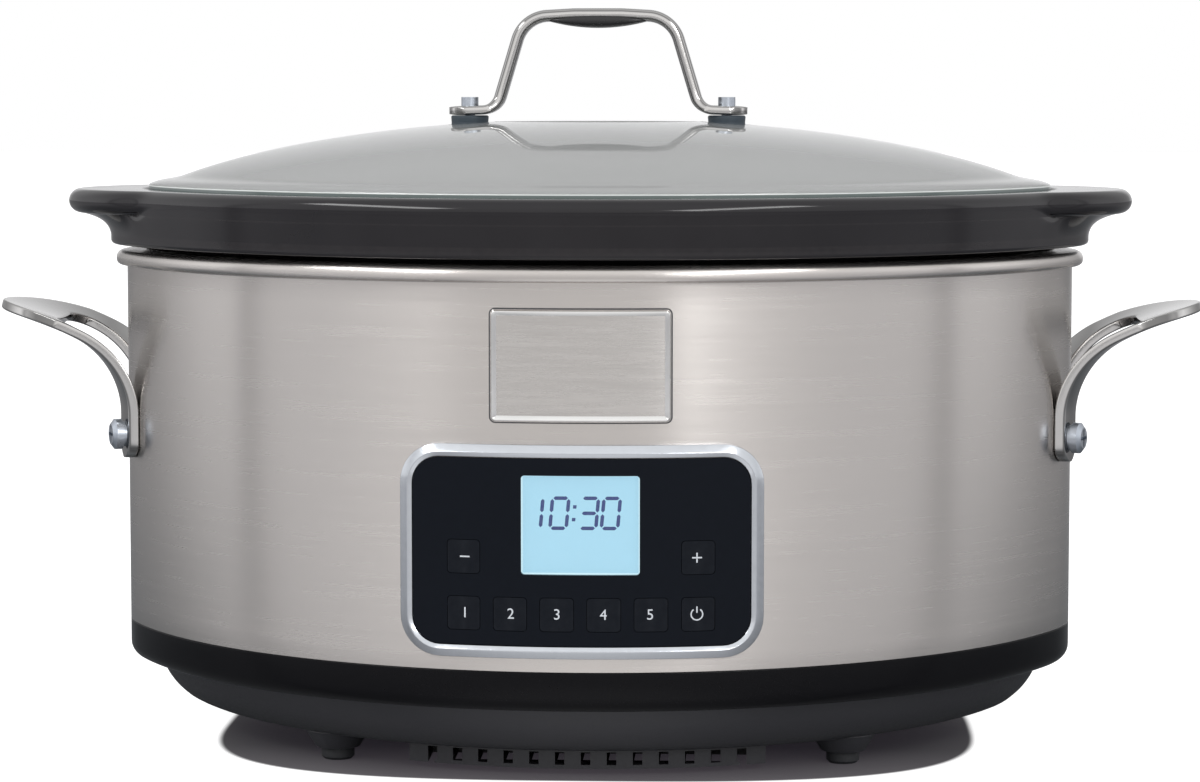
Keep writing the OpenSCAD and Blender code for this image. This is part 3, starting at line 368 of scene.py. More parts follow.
class Wiring:
    """A node tree that is being wired."""

    def __init__(self, tree: bpy.types.NodeTree) -> None:
        """Keeps the tree that nodes go into."""
        self.tree = tree

    def feed(self, socket: Socket, value: Any) -> None:
        """Feeds a socket from another one, or sets its value.

        Args:
            socket: the socket to feed.
            value: a socket, a number, a vector or a colour; a colour gets a full alpha.
        """
        if isinstance(value, Socket):
            self.tree.links.new(value, socket)
        elif socket.type == "RGBA":
            socket.default_value = (*value, 1.0)
        else:
            socket.default_value = value

    def add(self, kind: str, inputs: dict[Any, Any] | None = None, **settings: Any) -> bpy.types.Node:
        """Adds a node.

        Args:
            kind: the node's type.
            inputs: socket name or number to a value, or to a socket that feeds it.
            settings: the node's own properties.

        Returns:
            The new node.
        """
        node = self.tree.nodes.new(kind)
        for key, value in settings.items():
            setattr(node, key, value)
        for key, value in (inputs or {}).items():
            self.feed(node.inputs[key], value)
        return node

    def place(self) -> Socket:
        """The shaded point in the object's own coordinates."""
        return self.add("ShaderNodeTexCoord").outputs["Object"]

    def split(self, vector: Socket) -> Sequence[Socket]:
        """The x, y and z of a vector."""
        return self.add("ShaderNodeSeparateXYZ", {0: vector}).outputs

    def maths(self, how: str, *values: Any, **settings: Any) -> Socket:
        """The result of an operation on one number or two."""
        return self.add("ShaderNodeMath", dict(enumerate(values)), operation=how, **settings).outputs[0]

    def vectors(self, how: str, *values: Any) -> Socket:
        """The result of an operation on one vector or two."""
        node = self.add("ShaderNodeVectorMath", dict(enumerate(values)), operation=how)
        return node.outputs["Value" if how in ("DOT_PRODUCT", "LENGTH") else "Vector"]

    def noise(self, place: Socket, scale: Any, detail: float) -> Socket:
        """Soft noise of a given scale at a place."""
        inputs = {"Vector": place, "Scale": scale, "Detail": detail}
        return self.add("ShaderNodeTexNoise", inputs).outputs[0]

    def mix(self, factor: Any, low: Any, high: Any, how: str = "MIX") -> Socket:
        """The colour that lies a factor of the way from one colour to another."""
        inputs = {0: factor, 6: low, 7: high}
        return self.add("ShaderNodeMix", inputs, data_type="RGBA", blend_type=how).outputs[2]

    def ranged(
        self, value: Any, source: Sequence[float] = (0.0, 1.0), target: Sequence[float] = (0.0, 1.0),
        soft: bool = False,
    ) -> Socket:
        """Maps one range to another.

        Args:
            value: what runs over the first range.
            source: the first range.
            target: the second range, which the result never leaves.
            soft: whether a smoothstep leads from end to end, and not a straight line.

        Returns:
            The mapped value.
        """
        how = "SMOOTHSTEP" if soft else "LINEAR"
        inputs = dict(enumerate((value, *source, *target)))
        return self.add("ShaderNodeMapRange", inputs, interpolation_type=how).outputs[0]

    def ramp(self, value: Socket, stops: Sequence[tuple[float, Colour]]) -> Socket:
        """Turns a value from 0 to 1 into a colour.

        Args:
            value: the value.
            stops: the place of each stop and its colour, in order.

        Returns:
            The colour.
        """
        node = self.add("ShaderNodeValToRGB", {0: value})
        made = node.color_ramp.elements
        for stop, (at, colour) in zip((made[0], made[1]), (stops[0], stops[-1])):
            stop.position, stop.color = at, (*colour, 1.0)
        for at, colour in stops[1:-1]:
            made.new(at).color = (*colour, 1.0)
        return node.outputs[0]


class Effect(Enum):
    """The effects that several finishes share, each a node group."""

    GRAIN = "directional grain"
    MOTTLE = "soft mottle"
    WORN_EDGE = "worn edge"


class Effects:
    """Builds each shared node group once."""

    GRAIN_HEIGHT = 0.0002
    MOTTLE_HEIGHT = 0.0003
    EDGE_GAIN = 14.0
    EDGE_NOISE = 300.0

    _made: dict[Effect, bpy.types.NodeTree] = {}

    @classmethod
    def group(cls, effect: Effect) -> bpy.types.NodeTree:
        """Gives an effect's node group, made at its first use.

        Args:
            effect: the effect.

        Returns:
            Its node group.
        """
        if effect not in cls._made:
            tree = bpy.data.node_groups.new(effect.value, "ShaderNodeTree")
            makers = {Effect.GRAIN: cls._grain, Effect.MOTTLE: cls._mottle, Effect.WORN_EDGE: cls._worn_edge}
            makers[effect](tree)
            cls._made[effect] = tree
        return cls._made[effect]

    @staticmethod
    def _start(
        tree: bpy.types.NodeTree, ins: dict[str, Any], outs: dict[str, str]
    ) -> tuple[Wiring, Sequence[Socket]]:
        """Gives a group its named inputs and outputs.

        Args:
            tree: the group.
            ins: each input's name and its first value, a number or a vector.
            outs: each output's name and its type.

        Returns:
            The group's wiring, and the sockets that bring its inputs.
        """
        for name, value in ins.items():
            kind = "NodeSocketVector" if isinstance(value, tuple) else "NodeSocketFloat"
            socket = tree.interface.new_socket(name, in_out="INPUT", socket_type=kind)
            socket.default_value = value
        for name, kind in outs.items():
            tree.interface.new_socket(name, in_out="OUTPUT", socket_type=kind)
        wiring = Wiring(tree)
        return wiring, wiring.add("NodeGroupInput").outputs

    @staticmethod
    def _finish(wiring: Wiring, value: Socket, strength: Socket, height: float) -> None:
        """Ends a group with its pattern and the bump that the pattern makes.

        Args:
            wiring: the group's wiring.
            value: the pattern.
            strength: how strongly it shows in the normal.
            height: how high it rises, in metres.
        """
        bump = wiring.add("ShaderNodeBump", {"Strength": strength, "Distance": height, "Height": value})
        wiring.add("NodeGroupOutput", {0: value, 1: bump.outputs[0]})

    @classmethod
    def _grain(cls, tree: bpy.types.NodeTree) -> None:
        """Fine and coarse noise, both stretched by Stretch.

        Args:
            tree: the group to fill.
        """
        ins = {"Stretch": (60.0, 60.0, 2500.0), "Depth": 0.1}
        wiring, given = cls._start(tree, ins, {"Value": "NodeSocketFloat", "Normal": "NodeSocketVector"})
        lines = wiring.vectors("MULTIPLY", wiring.place(), given[0])
        fine = wiring.noise(lines, scale=1.0, detail=3.0)
        coarse = wiring.noise(lines, scale=0.22, detail=2.0)
        both = wiring.maths("ADD", fine, coarse)
        cls._finish(wiring, wiring.maths("MULTIPLY", both, 0.5), given[1], cls.GRAIN_HEIGHT)

    @classmethod
    def _mottle(cls, tree: bpy.types.NodeTree) -> None:
        """Noise of one size.

        Args:
            tree: the group to fill.
        """
        ins = {"Scale": 60.0, "Depth": 0.05}
        wiring, given = cls._start(tree, ins, {"Value": "NodeSocketFloat", "Normal": "NodeSocketVector"})
        value = wiring.noise(wiring.place(), scale=given[0], detail=5.0)
        cls._finish(wiring, value, given[1], cls.MOTTLE_HEIGHT)

    @classmethod
    def _worn_edge(cls, tree: bpy.types.NodeTree) -> None:
        """A mask along raised edges: how far Pointiness is above Level, broken by noise.

        Args:
            tree: the group to fill.
        """
        wiring, given = cls._start(tree, {"Level": 0.53}, {"Mask": "NodeSocketFloat"})
        point = wiring.add("ShaderNodeNewGeometry").outputs["Pointiness"]
        above = wiring.maths("SUBTRACT", point, given[0])
        edge = wiring.maths("MULTIPLY", above, cls.EDGE_GAIN, use_clamp=True)
        noise = wiring.noise(wiring.place(), scale=cls.EDGE_NOISE, detail=2.0)
        wiring.add("NodeGroupOutput", {0: wiring.maths("MULTIPLY", edge, noise)})


@dataclass(frozen=True)
class Finish:
    """What every finish has: a name, a colour and a roughness."""

    name: str
    colour: Colour
    roughness: float = 0.4

    def make(self) -> bpy.types.Material:
        """A plain surface; each kind of finish adds its own patterns to it."""
        return Surface(self).material


class Surface(Wiring):
    """The material of a finish in the making, with the sockets of its shader."""

    def __init__(self, finish: Finish, **constants: Any) -> None:
        """Makes the material and sets constants on its shader's own sockets.

        Args:
            finish: the finish that gives the name, the colour and the roughness.
            constants: socket name, with _ for a space, to its value.
        """
        self.finish = finish
        self.material = bpy.data.materials.new(finish.name)
        self.material.use_nodes = True
        self.material.diffuse_color = (*finish.colour, 1.0)
        super().__init__(self.material.node_tree)
        self.sockets = self.tree.nodes["Principled BSDF"].inputs
        self.link("Base Color", finish.colour)
        self.link("Roughness", finish.roughness)
        for key, value in constants.items():
            self.link(key.replace("_", " "), value)

    def link(self, name: str, value: Any) -> None:
        """Feeds one of the shader's own sockets."""
        self.feed(self.sockets[name], value)

    def effect(self, effect: Effect, **inputs: Any) -> Sequence[Socket]:
        """Places a shared effect with the finish's own values and gives its outputs."""
        return self.add("ShaderNodeGroup", inputs, node_tree=Effects.group(effect)).outputs

    def shade(self, value: Socket, colour: float, rough: float) -> None:
        """Lets a pattern lighten and darken the colour and move the roughness.

        Args:
            value: the pattern, about 0..1 with its middle at a half.
            colour: share by which the colour goes up and down.
            rough: amount by which the roughness goes up and down.
        """
        base, middle = self.finish.colour, self.finish.roughness
        low, high = (tuple(min(c * share, 1.0) for c in base) for share in (1.0 - colour, 1.0 + colour))
        self.link("Base Color", self.mix(value, low, high))
        self.link("Roughness", self.ranged(value, target=(max(middle - rough, 0.01), middle + rough)))

    def mottle(self, scale: float, depth: float, colour: float, rough: float) -> None:
        """Lets the soft mottle change the colour, the roughness and the surface.

        Args:
            scale: the mottle's scale; a larger one is finer.
            depth: how strongly it shows in the normal.
            colour: share by which the colour goes up and down.
            rough: amount by which the roughness goes up and down.
        """
        value, normal = self.effect(Effect.MOTTLE, Scale=scale, Depth=depth)
        self.shade(value, colour, rough)
        self.link("Normal", normal)

    def lay(self, factor: Any, colour: Any, how: str = "MIX") -> None:
        """Mixes a colour over what feeds the surface's colour so far."""
        skin = self.sockets["Base Color"].links[0].from_socket
        self.link("Base Color", self.mix(factor, skin, colour, how))

    def wear(self, level: float, amount: float, colour: Colour) -> None:
        """Lets another colour show along edges sharper than a level, up to an amount."""
        mask = self.effect(Effect.WORN_EDGE, Level=level)[0]
        self.lay(self.ranged(mask, target=(0.0, amount)), colour)


@dataclass(frozen=True)
class BrushedSteel(Finish):
    """Stainless steel with brush lines along one direction."""

    stretch: Triple = (55.0, 55.0, 2600.0)
    contrast: float = 0.12
    depth: float = 0.12
    anisotropic: float = 0.85

    def make(self) -> bpy.types.Material:
        """Brush lines change the colour, the roughness and the surface.

        Returns:
            The material.
        """
        surface = Surface(self, Metallic=1.0, Anisotropic=self.anisotropic, Anisotropic_Rotation=0.25)
        value, normal = surface.effect(Effect.GRAIN, Stretch=self.stretch, Depth=self.depth)
        surface.shade(value, self.contrast, rough=0.06)
        surface.link("Normal", normal)
        tangent = surface.add("ShaderNodeTangent", direction_type="RADIAL", axis="Z")
        surface.link("Tangent", tangent.outputs[0])
        return surface.material


@dataclass(frozen=True)
class SmoothMetal(Finish):
    """Polished, plated or drawn metal with faint smears; a polished bar can also carry a painted reflection.
    """

    scale: float = 90.0
    contrast: float = 0.06
    depth: float = 0.02
    # painted reflection: bands of how far the surface turns from the camera, and the share of colour left
    # there
    turned: tuple[Pair, ...] = ()

    def make(self) -> bpy.types.Material:
        """Smears change the roughness, and a little of the colour.

        A polished bar can also get a painted reflection: its colour darkens and brightens in
        bands as its surface turns away from the camera. Each band is a pair of how far it turns
        and the share of the colour that is left.

        Returns:
            The material.
        """
        surface = Surface(self, Metallic=1.0)
        surface.mottle(self.scale, self.depth, self.contrast, self.roughness * 0.45)
        if self.turned:
            # painted reflection: the colour darkens and brightens by how far the surface faces the camera
            facing = surface.add("ShaderNodeLayerWeight", {"Blend": 0.5}).outputs["Facing"]
            painted_reflection_bands = [(at, (level, level, level)) for at, level in self.turned]
            surface.lay(1.0, surface.ramp(facing, painted_reflection_bands), "MULTIPLY")
        return surface.material


@dataclass(frozen=True)
class Moulded(Finish):
    """Plastic, rubber or ceramic: a fine skin, and edges that a hand has rubbed."""

    scale: float = 900.0
    depth: float = 0.08
    contrast: float = 0.12
    wear: float = 0.25
    coat: float = 0.0
    level: float = 0.5

    def make(self) -> bpy.types.Material:
        """A mottled skin with lighter edges.

        Returns:
            The material.
        """
        surface = Surface(self, Coat_Weight=self.coat, Coat_Roughness=0.05, Specular_IOR_Level=self.level)
        surface.mottle(self.scale, self.depth, self.contrast, self.roughness * 0.3)
        worn = tuple(min(c * 1.6 + 0.02, 1.0) for c in self.colour)
        surface.wear(level=0.54, amount=self.wear, colour=worn)
        return surface.material


@dataclass(frozen=True)
class Glaze(Finish):
    """A dark glaze on stoneware, thinner and browner where the body turns sharply."""

    thin: Colour = (0.030, 0.027, 0.028)

    def make(self) -> bpy.types.Material:
        """A glossy coat over a slightly uneven, slightly speckled body.

        Returns:
            The material.
        """
        surface = Surface(self, Coat_Weight=0.1, Coat_Roughness=0.03, Specular_IOR_Level=0.32)
        surface.mottle(scale=45.0, depth=0.03, colour=0.2, rough=0.03)
        surface.wear(level=0.55, amount=0.5, colour=self.thin)
        return surface.material


@dataclass(frozen=True)
class ClearGlass(Finish):
    """Clear glass with faint wiping marks."""

    ior: float = 1.47
    clear: float = 0.5

    def make(self) -> bpy.types.Material:
        """Plain transmission through a faint haze; wiping marks change the roughness.

        Returns:
            The material.
        """
        surface = Surface(self, Transmission_Weight=self.clear, IOR=self.ior)
        marks = surface.effect(Effect.MOTTLE, Scale=25.0, Depth=0.0)[0]
        surface.link("Roughness", surface.ranged(marks, target=(0.0, self.roughness)))
        return surface.material


@dataclass(frozen=True)
class GroundEdge(Finish):
    """The edge of a glass sheet: dark from the side, with painted highlights as pale lines along its top and
    bottom.
    """

    # painted highlight: the colour of the pale lines along the edge's top and bottom
    pale: Colour = (0.86, 0.90, 0.88)
    low: float = 203.4
    high: float = 207.3
    line: float = 0.6

    def make(self) -> bpy.types.Material:
        """The painted highlights' share grows where the height comes within a line of the top or bottom.

        Returns:
            The material.
        """
        surface = Surface(self, Coat_Weight=0.5, Coat_Roughness=0.05)
        middle, half = 0.5 * (self.low + self.high) * MM, 0.5 * (self.high - self.low) * MM
        away = surface.maths("SUBTRACT", surface.split(surface.place())[2], middle)
        # painted highlight: it rises within a line of the edge's top and bottom
        painted_highlight_span = (half - self.line * MM, half)
        rise = surface.ranged(surface.maths("ABSOLUTE", away), painted_highlight_span, soft=True)
        haze = surface.effect(Effect.MOTTLE, Scale=60.0, Depth=0.0)[0]
        surface.shade(haze, colour=0.15, rough=0.03)
        surface.lay(rise, self.pale)
        return surface.material


@dataclass(frozen=True)
class Film(Finish):
    """A thin clear window that lets what is behind it show."""

    alpha: float = 0.12

    def make(self) -> bpy.types.Material:
        """Mostly see-through, with a gloss; dust changes how much shows.

        Returns:
            The material.
        """
        surface = Surface(self, Alpha=self.alpha)
        dust = surface.effect(Effect.MOTTLE, Scale=150.0, Depth=0.0)[0]
        surface.link("Alpha", surface.ranged(dust, target=(self.alpha * 0.7, self.alpha * 1.3)))
        return surface.material


@dataclass(frozen=True)
class LitDisplay(Finish):
    """A backlit display: even in the middle and brighter along its border."""

    centre: Triple = (0.0, 0.0, 94.3)
    half: Pair = (20.4, 17.1)
    rim: Pair = (0.965, 0.995)
    border: Colour = (0.62, 0.86, 0.95)
    unlit: Colour = (0.12, 0.12, 0.12)
    glow: float = 1.0

    def make(self) -> bpy.types.Material:
        """The brightness grows with the larger of |x| / half width and |z| / half height.

        Returns:
            The material.
        """
        surface = Surface(self, Emission_Strength=self.glow)
        wide, high = self.half
        moved = surface.add("ShaderNodeMapping", {
            "Vector": surface.place(),
            "Location": tuple(-c / h for c, h in zip(self.centre, (wide, 1.0, high))),
            "Scale": (1.0 / (wide * MM), 1.0, 1.0 / (high * MM)),
        })
        x, _, z = surface.split(moved.outputs[0])
        edge = surface.maths("MAXIMUM", surface.maths("ABSOLUTE", x), surface.maths("ABSOLUTE", z))
        colour = surface.mix(surface.ranged(edge, self.rim, soft=True), self.colour, self.border)
        surface.link("Base Color", surface.mix(1.0, colour, self.unlit, "MULTIPLY"))
        surface.link("Emission Color", colour)
        return surface.material


@dataclass(frozen=True)
class CircuitBoard(Finish):
    """Green lacquer with copper tracks under it."""

    track: Colour = (0.10, 0.28, 0.12)

    def make(self) -> bpy.types.Material:
        """Tracks are the thin joints of a brick pattern in the board's own plane.

        Returns:
            The material.
        """
        surface = Surface(self, Coat_Weight=0.3, Coat_Roughness=0.2)
        black = (0.0, 0.0, 0.0)
        bricks = surface.add("ShaderNodeTexBrick", {
            "Vector": surface.place(), "Scale": 220.0, "Mortar Size": 0.04,
            "Color1": black, "Color2": black,
        })
        surface.link("Base Color", surface.mix(bricks.outputs[1], self.colour, self.track))
        return surface.material


SHELL_STEEL = BrushedSteel("brushed_shell_steel", (0.61, 0.578, 0.555), 0.26, contrast=0.04, depth=0.004)
PLATE_STEEL = BrushedSteel(
    "brushed_plate_steel", (0.575, 0.553, 0.535), 0.27,
    stretch=(90.0, 90.0, 1800.0), contrast=0.16, depth=0.12,
)
# painted reflection: dark and bright bands by how far the polished surface turns from the camera
POLISHED_STEEL = SmoothMetal(
    "polished_steel", (0.70, 0.69, 0.68), 0.12,
    turned=((0.0, 0.92), (0.03, 0.86), (0.09, 0.34), (0.22, 0.28), (0.40, 0.80), (0.70, 0.40), (1.0, 0.60)),
)
BRIGHT_STEEL = SmoothMetal("bright_frame_steel", (0.84, 0.835, 0.825), 0.08)
ZINC_STEEL = SmoothMetal("zinc_plated_steel", (0.50, 0.54, 0.60), 0.33, scale=400.0, contrast=0.2, depth=0.1)
DRAWN_ALUMINIUM = SmoothMetal(
    "drawn_aluminium", (0.70, 0.70, 0.71), 0.38, scale=70.0, contrast=0.1, depth=0.08
)
BRASS = SmoothMetal("brass", (0.72, 0.56, 0.28), 0.3)
SILVER_TRIM = SmoothMetal(
    "satin_silver_trim", (0.585, 0.61, 0.65), 0.22, scale=500.0, contrast=0.04, depth=0.02
)
DARK_GLAZE = Glaze("dark_crock_glaze", (0.012, 0.011, 0.013), 0.12)
LID_GLASS = ClearGlass("clear_lid_glass", (0.525, 0.535, 0.533), 0.05)
# ground glass edge with painted highlights along its top and bottom
RIM_GLASS = GroundEdge("ground_glass_edge", (0.10, 0.13, 0.125), 0.12)
GLOSS_BLACK = Moulded("gloss_black_ring", (0.003, 0.003, 0.004), 0.18, scale=400.0, depth=0.02, level=0.12)
MATT_BLACK = Moulded("matt_black_moulding", (0.030, 0.030, 0.035), 0.42, depth=0.12, level=0.5)
GRIP_BLACK = Moulded("grip_black", (0.012, 0.012, 0.013), 0.3, depth=0.05)
PANEL_BLACK = Moulded(
    "panel_black", (0.003, 0.0045, 0.008), 0.16, scale=300.0, depth=0.01, wear=0.0, level=0.12
)
KEY_BLACK = Moulded(
    "key_black", (0.0035, 0.005, 0.0085), 0.22, scale=600.0, depth=0.03, wear=0.4, level=0.12
)
FOOT_RUBBER = Moulded("foot_rubber", (0.018, 0.019, 0.022), 0.7, depth=0.2)
SPACER_SILICONE = Moulded("spacer_silicone", (0.030, 0.045, 0.060), 0.5, depth=0.1)
WHITE_CERAMIC = Moulded("white_ceramic", (0.72, 0.70, 0.64), 0.5)
HEATER_MICA = Moulded("heater_mica", (0.16, 0.13, 0.10), 0.7, scale=120.0, contrast=0.4)
BOARD_GREEN = CircuitBoard("circuit_board", (0.02, 0.12, 0.05), 0.35)
DISPLAY_BLUE = LitDisplay("lit_display", (0.355, 0.635, 0.785), 0.4)
WINDOW_FILM = Film("display_window_film", (0.4, 0.5, 0.6), 0.05, alpha=0.05)
INK_PALE = Moulded("pale_key_ink", (0.55, 0.58, 0.62), 0.5, wear=0.0)
INK_NAVY = Moulded("navy_segment_ink", (0.012, 0.026, 0.16), 0.5, wear=0.0)


# ---------------------------------------------------------------- pieces


@dataclass
class Workshop:
    """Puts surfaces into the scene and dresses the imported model's own nodes."""

    nodes: dict[str, bpy.types.Object]
    made: dict[str, bpy.types.Material] = field(default_factory=dict)

    def material(self, finish: Finish) -> bpy.types.Material:
        """Gives a finish's material, made at its first use.

        Args:
            finish: the finish.

        Returns:
            Its material.
        """
        if finish.name not in self.made:
            self.made[finish.name] = finish.make()
        return self.made[finish.name]

    def piece(
        self, name: str, patches: Sequence[Patch], body: str, finish: Finish,
        replaces: Sequence[str] = (), sharp: float = 32.0,
    ) -> bpy.types.Object:
        """Makes one object from surfaces.

        Args:
            name: the object's name.
            patches: its surfaces, in millimetres.
            body: the body that it rides on.
            finish: its finish.
            replaces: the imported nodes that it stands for.
            sharp: edges that turn by more than this many degrees stay crisp.

        Returns:
            The new object.
        """
        starts = np.cumsum([0] + [len(p.points) for p in patches])
        points = np.concatenate([p.points for p in patches]) * MM
        faces: list[list[int]] = []
        for patch, start in zip(patches, starts):
            faces += (patch.quads + start).tolist() + (patch.tris + start).tolist()
        mesh = bpy.data.meshes.new(name)
        mesh.from_pydata(points.tolist(), [], faces)
        mesh.polygons.foreach_set("use_smooth", np.ones(len(mesh.polygons), bool))
        mesh.set_sharp_from_angle(angle=math.radians(sharp))
        mesh.validate()
        mesh.materials.append(self.material(finish))
        thing = bpy.data.objects.new(name, mesh)
        bpy.context.scene.collection.objects.link(thing)
        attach(thing, body)
        if replaces:
            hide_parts(*replaces)
        LOG.info("%s: %d faces on %s", name, len(faces), body)
        return thing

    def dress(self, finish: Finish, *names: str) -> None:
        """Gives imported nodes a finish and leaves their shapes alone.

        Args:
            finish: the finish.
            names: the nodes.
        """
        material = self.material(finish)
        for name in names:
            thing = self.nodes[name]
            if not thing.material_slots:
                thing.data.materials.append(material)
            for slot in thing.material_slots:
                slot.material = material
            LOG.info("%s: packed shape in %s", name, material.name)


@dataclass
class HeatedBase:
    """The steel shell, the black ring and pan under it, and what they stand on."""

    foot_z: float = 43.0
    rim_z: float = 183.0
    sheet: float = 0.8
    lip_in: float = 14.0
    bead_out: float = 4.0
    bead_h: float = 5.5
    pan_z: float = 10.0
    wall: float = 2.5
    feet: Pair = (92.0, 70.0)
    opening: Triple = (50.0, 56.0, 114.0)
    ring_rows: Rows = (
        (0.0, 43.0, 0.5), (0.0, 28.9, 6.6), (-10.5, 28.3, 1.0), (-14.5, 28.3, 0.3), (-14.5, 30.8, 0.3),
        (-3.6, 31.4, 3.0), (-3.45, 48.0, 0.3), (-0.95, 48.0, 0.3), (-0.95, 43.0, 0.1),
    )
    boss_rows: Rows = ((0.0, 4.5, 0.0), (8.0, 4.5, 0.6), (12.2, 11.4, 0.5), (0.0, 11.4, 0.0))

    def shell(self) -> Patch:
        """The sheet's section: a straight wall, a rolled bead and a lip that turns in.

        The faces behind the control panel are left out, so that the panel is open there.

        Returns:
            The sheet.
        """
        low, top, t = self.foot_z, self.rim_z, self.sheet
        side, panel_low, panel_top = self.opening
        out, bead = self.bead_out, top - self.bead_h
        sheet = swept(subdivided(rounded([
            (0.0, low, 0.2), (0.0, panel_low, 0.0), (0.0, panel_top, 0.0), (0.0, bead, 0.5),
            (out, bead, 2.7), (out, top, 2.7), (-self.lip_in, top, 0.2), (-self.lip_in, top - t, 0.2),
            (out - t, top - t, 1.9), (out - t, bead + t, 1.9), (-t, bead + t, 0.3),
            (-t, panel_top, 0.0), (-t, panel_low, 0.0), (-t, low, 0.2),
        ]), 8.0, closed=True))
        middle = sheet.points[sheet.quads].mean(axis=1)
        panel = (np.abs(middle[:, 0]) < side) & (middle[:, 1] < 0.0)
        panel &= (middle[:, 2] > panel_low) & (middle[:, 2] < panel_top)
        return Patch(sheet.points, sheet.quads[~panel], sheet.tris)

    def pan(self) -> list[Patch]:
        """A shallow bowl closed across its middle, and a round boss over each foot.

        Returns:
            The bowl and the four bosses.
        """
        z, t = self.pan_z, self.wall
        line = rounded([
            (-45.0, z, 0.0), (-25.5, z + 0.2, 18.0), (-15.6, 18.8, 26.0), (-10.8, 28.15, 0.4),
            (-17.15, 28.15, 0.2), (-17.15, 33.3, 0.3), (-19.0, 33.3, 0.3), (-19.2, 20.5, 18.0),
            (-27.0, z + t + 0.2, 16.0), (-45.0, z + t, 0.0),
        ], steps=9, closed=False)
        bowl = Patch.capped(OVAL.sweep(line[:, :1], line[:, 1:], OVAL.turns(288)))
        boss = rounded(self.boss_rows, closed=False)[1:-1]
        x, y = self.feet
        return [bowl, *(turned(boss, (sx * x, sy * y, 0.0)) for sx in (-1, 1) for sy in (-1, 1))]

    def build(self, shop: Workshop) -> None:
        """Makes the base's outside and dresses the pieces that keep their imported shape.

        Args:
            shop: where the pieces go.
        """
        shop.piece("steel_shell", [self.shell()], "housing", SHELL_STEEL, ["outer_shell"])
        ring = swept(rounded(self.ring_rows, steps=9))
        shop.piece("gloss_ring", [ring], "housing", GLOSS_BLACK, ["base_ring"])
        shop.piece("bowl_pan", self.pan(), "housing", MATT_BLACK, ["base_pan"])
        shop.dress(MATT_BLACK, "vent_cover")
        shop.dress(FOOT_RUBBER, "foot_front_left", "foot_front_right", "foot_rear_left", "foot_rear_right")
        shop.dress(FOOT_RUBBER, "cord_gland")


@dataclass
class Crock:
    """The glazed stoneware crock with a lug at each end."""

    rim_z: float = 206.0
    foot_z: float = 64.2
    floor_z: float = 73.2
    ledge_z: float = 202.2
    band_out: float = 6.0
    band_low: float = 185.3
    lug_centre: float = 140.8
    lug_r: float = 60.0
    blend: float = 3.0
    edge_r: float = 4.4
    tip_r: float = 4.5
    step_z: float = 183.3
    root_h: float = 3.4
    pull_up: float = 6.7
    pull_down: float = 1.8
    pull_out: Pair = (0.4, 2.4)
    foot_in: float = 54.0

    def lug_reach(self, turn: Array) -> Array:
        """How far the lug stands out of the band along each normal.

        The normal's ray from its arc's centre meets the lug's circle at
        t = -w.u + sqrt((w.u)^2 - |w|^2 + r^2); a soft maximum with zero blends it in.

        Args:
            turn: the normals' directions.

        Returns:
            The reach of each, nearly zero where there is no lug.
        """
        cos, sin = np.abs(np.cos(turn)), np.abs(np.sin(turn))
        x, wy, radius = OVAL.arc(cos, sin)
        wx = x - self.lug_centre
        along = wx * cos + wy * sin
        inside = along**2 - wx**2 - wy**2 + self.lug_r**2
        ray = -along + np.sqrt(np.maximum(inside, 0.0))
        missed = -10.0 * self.blend
        reach = np.where(inside > 0.0, ray - radius - self.band_out, missed)
        return 0.5 * (reach + np.sqrt(reach**2 + self.blend**2))

    def build(self, shop: Workshop) -> None:
        """Rows run from under the foot, up the outside, over the rim and down to the floor.

        Between the band's lower edge and the rim's corner a row lies on a cubic Bezier
        curve, whose two middle points the pulls give. Without a lug it runs straight up
        the band; under a lug it leans out, turns and follows the underside to the tip,
        whose section is a half circle.

        Args:
            shop: where the crock goes.
        """
        turn = OVAL.turns(480)
        reach = self.lug_reach(turn)[None, :]
        full = smooth(reach / 10.0)
        radius = self.edge_r + (self.tip_r - self.edge_r) * full
        band, top, low, floor = self.band_out, self.rim_z, self.band_low, self.floor_z
        outside = rounded([
            (-self.foot_in, self.foot_z, 0.0), (-29.2, self.foot_z, 10.0), (-21.0, self.step_z, 1.0),
            (-7.0, self.step_z, 0.8), (-4.0, low, 0.8), (band, low, 3.2), (band, low + self.root_h, 0.0),
        ], closed=False)
        inside = rounded([
            (-2.0, top, 0.0), (-6.6, top, 1.8), (-6.6, self.ledge_z, 0.5), (-18.5, self.ledge_z, 5.0),
            (-28.4, 186.0, 8.0), (-35.3, floor, 18.0), (-self.foot_in, floor, 0.0),
        ], closed=False, steps=9)
        outside, inside = (line[..., None] + 0.0 * reach for line in (outside, inside))
        t = np.linspace(0.0, 1.0, 16)[:, None]
        start, early, late, end = (1.0 - t) ** 3, 3.0 * t * (1.0 - t) ** 2, 3.0 * t * t * (1.0 - t), t**3
        under = np.maximum(reach - radius, 0.0)
        out_early, out_late = self.pull_out
        root_out = band + out_early * full * early + out_late * full * late + under * end
        tip_low = top - 2.0 * radius
        root_low, pulled, hung = low + self.root_h, low + self.pull_up, tip_low - self.pull_down
        root_z = root_low * start + pulled * early + hung * late + tip_low * end
        angle = np.radians(np.linspace(-90.0, 90.0, 23))[:, None]
        tip_out = band + reach - radius + radius * np.cos(angle)
        tip_out = np.where(angle < 0.0, np.maximum(tip_out, band), tip_out)
        tip_z = top - radius + radius * np.sin(angle)
        out = np.concatenate([outside[:, 0], root_out, tip_out, inside[:, 0]])
        height = np.concatenate([outside[:, 1], root_z, tip_z, inside[:, 1]])
        body = Patch.capped(OVAL.sweep(out, height, turn))
        shop.piece("glazed_crock", [body], "crock", DARK_GLAZE, ["crock"], sharp=40.0)


